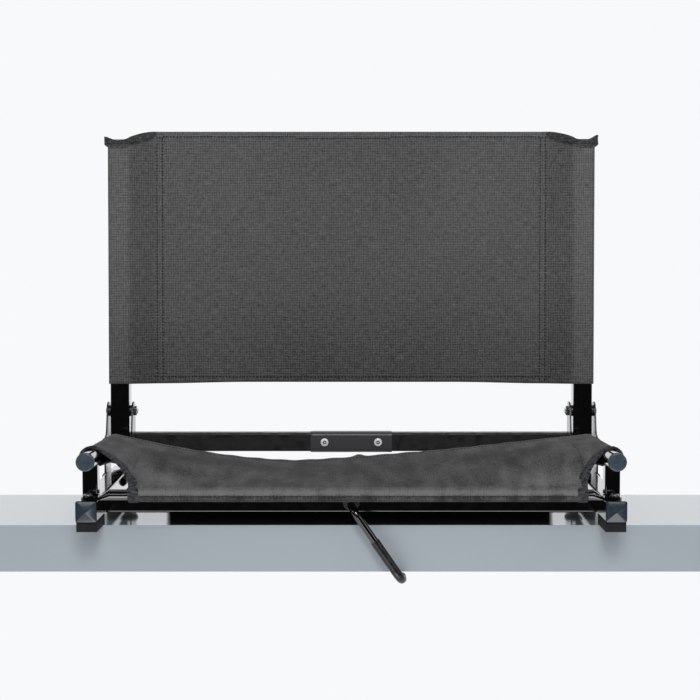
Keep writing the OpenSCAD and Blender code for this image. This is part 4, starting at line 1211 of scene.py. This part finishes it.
class CHAIR_OT_seat(bpy.types.Operator):
    """The seat canvas with its bound side cuts and stitching"""
    bl_idname = "chair.seat"
    bl_label = "Seat canvas"

    def execute(self, context):
        sizes, colours = context.scene.chair_sizes, context.scene.chair_colours
        canvas = woven_canvas("brushed_canvas_charcoal", *canvas_colours(colours),
                              nap=(22.0, 70.0), nap_weight=1.7, ribs=0.05)
        cloth = SeatCloth(sizes)
        bm = bmesh.new()
        depth = seat_surface(bm, cloth)
        seat = new_piece("seat_canvas", bm, canvas, "base", "charcoal_canvas", ["seat_sling"], sharp_angle=80)
        thicken(seat, sizes.thickness, mottle_and_painted_light_at=cloth.mottle_and_painted_light)
        tree = surface_tree(seat)
        tape = binding_tape("woven_binding_tape", colours.tape, linear("#484a4f"))
        left_band, left_line = edge_band("seat_edge_band_left", cloth, -1, tree, tape)
        right_band, right_line = edge_band("seat_edge_band_right", cloth, 1, tree, tape)
        top, ahead = Vector((0, 0, sizes.thickness)), Vector((0, 2 * MM, 0))
        rear = [cloth.panel(x, REAR_SEAM) + top for x in every_4_mm(-300, 301)]
        ends = (round(x / MM) for x in (sizes.hem_left + sizes.band, sizes.hem_right - sizes.band))
        front = [cloth.pocket(x, math.radians(FRONT_SEAM)) - ahead for x in every_4_mm(*ends)]
        stitching = sew(
            "seat_stitching", [rear, front, left_line, right_line], tree, "base", sizes, sizes.thread)
        width = cloth.flat_width()
        return {"FINISHED"}


class CHAIR_OT_back(bpy.types.Operator):
    """The canvas back with its pockets, hems and stitching"""
    bl_idname = "chair.back"
    bl_label = "Back canvas"

    def execute(self, context):
        sizes = context.scene.chair_sizes
        canvas = woven_canvas("woven_canvas_charcoal", *canvas_colours(context.scene.chair_colours),
                              nap=(26.0, 26.0), nap_weight=0.1, ribs=0.13)
        cloth = BackCloth(sizes)
        bm = bmesh.new()
        width = back_surface(bm, cloth)
        back = new_piece(
            "back_canvas", bm, canvas, "backrest", "charcoal_canvas", ["back_sling"], sharp_angle=80)
        thicken(back, sizes.thickness, cloth.folded, cloth.mottle_and_painted_light)
        stitching = sew(
            "back_stitching", back_seams(cloth), surface_tree(back), "backrest", sizes, sizes.back_thread)
        return {"FINISHED"}


class CHAIR_OT_hook(bpy.types.Operator):
    """The vinyl sleeve of the hook"""
    bl_idname = "chair.hook"
    bl_label = "Hook sleeve"

    def execute(self, context):
        paint(dipped_vinyl("dipped_vinyl_sleeve", linear("#101011"), linear("#2a2b2d")), "hook_sleeve")
        return {"FINISHED"}


# The studio

BACKDROP = linear("#f8f9fb")
FLOOR_TOP = linear("#ced6da")
# The floor's box: its middle in X and Y, its size, and how far its top lies below the feet
FLOOR_MIDDLE, FLOOR_SIZE, FLOOR_DROP = (0, 1.45), (6, 3.1, 57 * MM), 0.2 * MM
# Where the floor turns white behind the chair, and over what distance
FLOOR_BACK, FADE = 138 * MM, 4 * MM
# The painted shade under the seat: its middle in X and how its sides slope, then from where to
# where it fades at its sides and at its rear
SHADE_MIDDLE, SHADE_SLOPE = 10.5 * MM, 0.12
SHADE_REACH, SHADE_REAR = (241 * MM, 247 * MM), (20 * MM, 50 * MM)
# Shader values of the open floor, and of the painted shade
FLOOR_SHINE = {"Metallic": (0.3, 0), "Specular IOR Level": (0.5, 0), "Roughness": (0.07, 0.6)}
# Brightness of the room on the camera's side as metal and glass see it, and as light on the chair
ROOM_DARK, AMBIENT = 0.02, 0.34
# From where to where on each axis of the view's direction that room turns from dark to white
ROOM_FADE = {"Y": (-0.1, 0.4), "Z": (-0.25, -0.5)}
# The lamps: name, place, the point they are turned to, width, height and power
LAMPS = [
    ("softbox_front", (0.1, -2.5, 1.9), (0, 0, 0.2), 0.9, 0.9, 36),
    ("softbox_brow", (0, -2.7, 1.12), (0, -0.15, 0.03), 1.7, 0.36, 8),
    ("softbox_left", (-2.1, -1.2, 0.9), (0, 0, 0.2), 1.0, 1.0, 6),
    ("softbox_right", (2.1, -1.2, 0.9), (0, 0, 0.2), 1.0, 1.0, 5),
    ("softbox_low", (0, -1.3, -1.0), (0, -0.15, 0.02), 1.2, 1.2, 11),
]
# The camera: its lens in millimetres, shift, place, and tilt below level in degrees
LENS, SHIFT, STAND, TILT = 82.97, (-0.0018, 0.01134), (0, -2.0355, 0.3383), 4.004


def area_light(name, place, aim, width, height, power):
    """A soft lamp turned towards a point."""
    light = bpy.data.lights.new(name, "AREA")
    light.shape, light.size, light.size_y, light.energy = "RECTANGLE", width, height, power
    lamp = bpy.data.objects.new(name, light)
    bpy.context.scene.collection.objects.link(lamp)
    lamp.location = place
    lamp.rotation_euler = (Vector(aim) - Vector(place)).to_track_quat("-Z", "Y").to_euler()


def polished_floor():
    """Polished pale floor, white behind the chair, and painted near black under the seat as deep shade."""
    material, tree, shader = new_material("polished_pale_floor", FLOOR_TOP, 0.07, {})
    place = add(tree, "ShaderNodeTexCoord")
    axes = add(tree, "ShaderNodeSeparateXYZ", {"Vector": place.outputs["Object"]})
    aside = add(tree, "ShaderNodeMath", {0: axes.outputs["X"], 1: SHADE_MIDDLE}, operation="SUBTRACT")
    aside = add(tree, "ShaderNodeMath", {0: aside}, operation="ABSOLUTE")
    aside = add(tree, "ShaderNodeMath", {
        0: axes.outputs["Y"], 1: -SHADE_SLOPE, 2: aside}, operation="MULTIPLY_ADD")
    inside, ahead = (
        add(tree, "ShaderNodeMapRange", {
            "Value": value, "From Min": full, "From Max": none, "To Min": 1, "To Max": 0})
        for value, (full, none) in ((aside, SHADE_REACH), (axes.outputs["Y"], SHADE_REAR)))
    # Painted shade: under the seat the floor's colour turns near black and its finish dull
    dark = add(tree, "ShaderNodeMath", {0: inside, 1: ahead}, operation="MULTIPLY")
    toned = add(tree, "ShaderNodeMix", {0: dark, 6: FLOOR_TOP, 7: linear("#303032")}, data_type="RGBA")
    tree.links.new(toned.outputs[2], shader.inputs["Base Color"])
    for socket, (pale, shaded) in FLOOR_SHINE.items():
        shine = add(tree, "ShaderNodeMapRange", {"Value": dark, "To Min": pale, "To Max": shaded})
        tree.links.new(shine.outputs["Result"], shader.inputs[socket])
    fade = add(tree, "ShaderNodeMapRange", {
        "Value": axes.outputs["Y"], "From Min": FLOOR_BACK - FADE, "From Max": FLOOR_BACK + FADE})
    white = add(tree, "ShaderNodeEmission", {"Color": BACKDROP, "Strength": 1.0})
    blend = add(tree, "ShaderNodeMixShader", {0: fade, 1: shader, 2: white})
    tree.links.new(blend.outputs["Shader"], tree.nodes["Material Output"].inputs["Surface"])
    return material


def studio_floor():
    """A plain pale floor that the feet stand on. It ends in front, where the hook reaches below it."""
    bm = bmesh.new()
    bmesh.ops.create_cube(bm, size=1)
    bmesh.ops.scale(bm, vec=FLOOR_SIZE, verts=bm.verts)
    bmesh.ops.translate(bm, vec=(*FLOOR_MIDDLE, -FLOOR_SIZE[2] / 2 - FLOOR_DROP), verts=bm.verts)
    # Painted shade: the front face takes a darker colour than the top
    for face in bm.faces:
        face.material_index = 1 if face.normal.y < -0.5 else 0
    mesh = bpy.data.meshes.new("studio_floor")
    bm.to_mesh(mesh)
    bm.free()
    mesh.materials.append(polished_floor())
    mesh.materials.append(
        new_material("satin_pale_floor_edge", linear("#9fa7ae"), 0.5, {"Specular IOR Level": 0.25})[0])
    floor = bpy.data.objects.new("studio_floor", mesh)
    bpy.context.scene.collection.objects.link(floor)


def studio_world():
    """Even grey light; the camera, metal and glass see a white room, darker on the camera's side."""
    world = bpy.data.worlds.new("studio")
    bpy.context.scene.world = world
    world.use_nodes = True
    tree = world.node_tree
    path = add(tree, "ShaderNodeLightPath")
    place = add(tree, "ShaderNodeTexCoord")
    axes = add(tree, "ShaderNodeSeparateXYZ", {"Vector": place.outputs["Generated"]})
    behind, below = (
        add(tree, "ShaderNodeMapRange", {
            "Value": axes.outputs[axis], "From Min": dark, "From Max": white, "To Min": ROOM_DARK})
        for axis, (dark, white) in ROOM_FADE.items())
    room = add(tree, "ShaderNodeMath", {0: behind, 1: below}, operation="MAXIMUM")
    shiny = add(tree, "ShaderNodeMath", {
        0: path.outputs["Is Glossy Ray"], 1: path.outputs["Is Transmission Ray"]}, operation="MAXIMUM")
    seen = add(tree, "ShaderNodeMix", {0: shiny, 2: AMBIENT, 3: room})
    strength = add(tree, "ShaderNodeMix", {0: path.outputs["Is Camera Ray"], 2: seen, 3: 1.0})
    backdrop = tree.nodes["Background"]
    backdrop.inputs["Color"].default_value = BACKDROP
    tree.links.new(strength.outputs[0], backdrop.inputs["Strength"])


class CHAIR_OT_studio(bpy.types.Operator):
    """Floor, lamps, room and camera"""
    bl_idname = "chair.studio"
    bl_label = "Studio"

    def execute(self, context):
        studio_floor()
        studio_world()
        for lamp in LAMPS:
            area_light(*lamp)
        camera = bpy.data.cameras.new("photo_camera")
        camera.lens, camera.sensor_width = LENS, 36
        camera.shift_x, camera.shift_y = SHIFT
        viewer = bpy.data.objects.new("photo_camera", camera)
        context.scene.collection.objects.link(viewer)
        viewer.location = STAND
        viewer.rotation_euler = (math.radians(90 - TILT), 0, 0)
        context.scene.camera = viewer
        context.scene.view_settings.view_transform = "Standard"
        return {"FINISHED"}


OPERATORS = [
    CHAIR_OT_frame, CHAIR_OT_brackets, CHAIR_OT_plugs, CHAIR_OT_fasteners, CHAIR_OT_seat,
    CHAIR_OT_back, CHAIR_OT_hook, CHAIR_OT_studio,
]


class CHAIR_PT_pieces(bpy.types.Panel):
    """Lists the chair's pieces, sizes and colours"""
    bl_label = "Bleacher chair"
    bl_idname = "CHAIR_PT_pieces"
    bl_space_type = "VIEW_3D"
    bl_region_type = "UI"
    bl_category = "Chair"

    def draw(self, context):
        for operator in OPERATORS:
            self.layout.operator(operator.bl_idname)
        for group in (context.scene.chair_sizes, context.scene.chair_colours):
            for name in type(group).__annotations__:
                self.layout.prop(group, name)


CLASSES = [ChairSizes, ChairColours, *OPERATORS, CHAIR_PT_pieces]


def register():
    for item in CLASSES:
        bpy.utils.register_class(item)
    bpy.types.Scene.chair_sizes = bpy.props.PointerProperty(type=ChairSizes)
    bpy.types.Scene.chair_colours = bpy.props.PointerProperty(type=ChairColours)


def unregister():
    del bpy.types.Scene.chair_colours
    del bpy.types.Scene.chair_sizes
    for item in reversed(CLASSES):
        bpy.utils.unregister_class(item)


def main():
    register()
    bpy.ops.chair.studio()
    bpy.ops.chair.frame()
    bpy.ops.chair.brackets()
    bpy.ops.chair.plugs()
    bpy.ops.chair.fasteners()
    bpy.ops.chair.seat()
    bpy.ops.chair.back()
    bpy.ops.chair.hook()


if __name__ == "__main__":
    main()
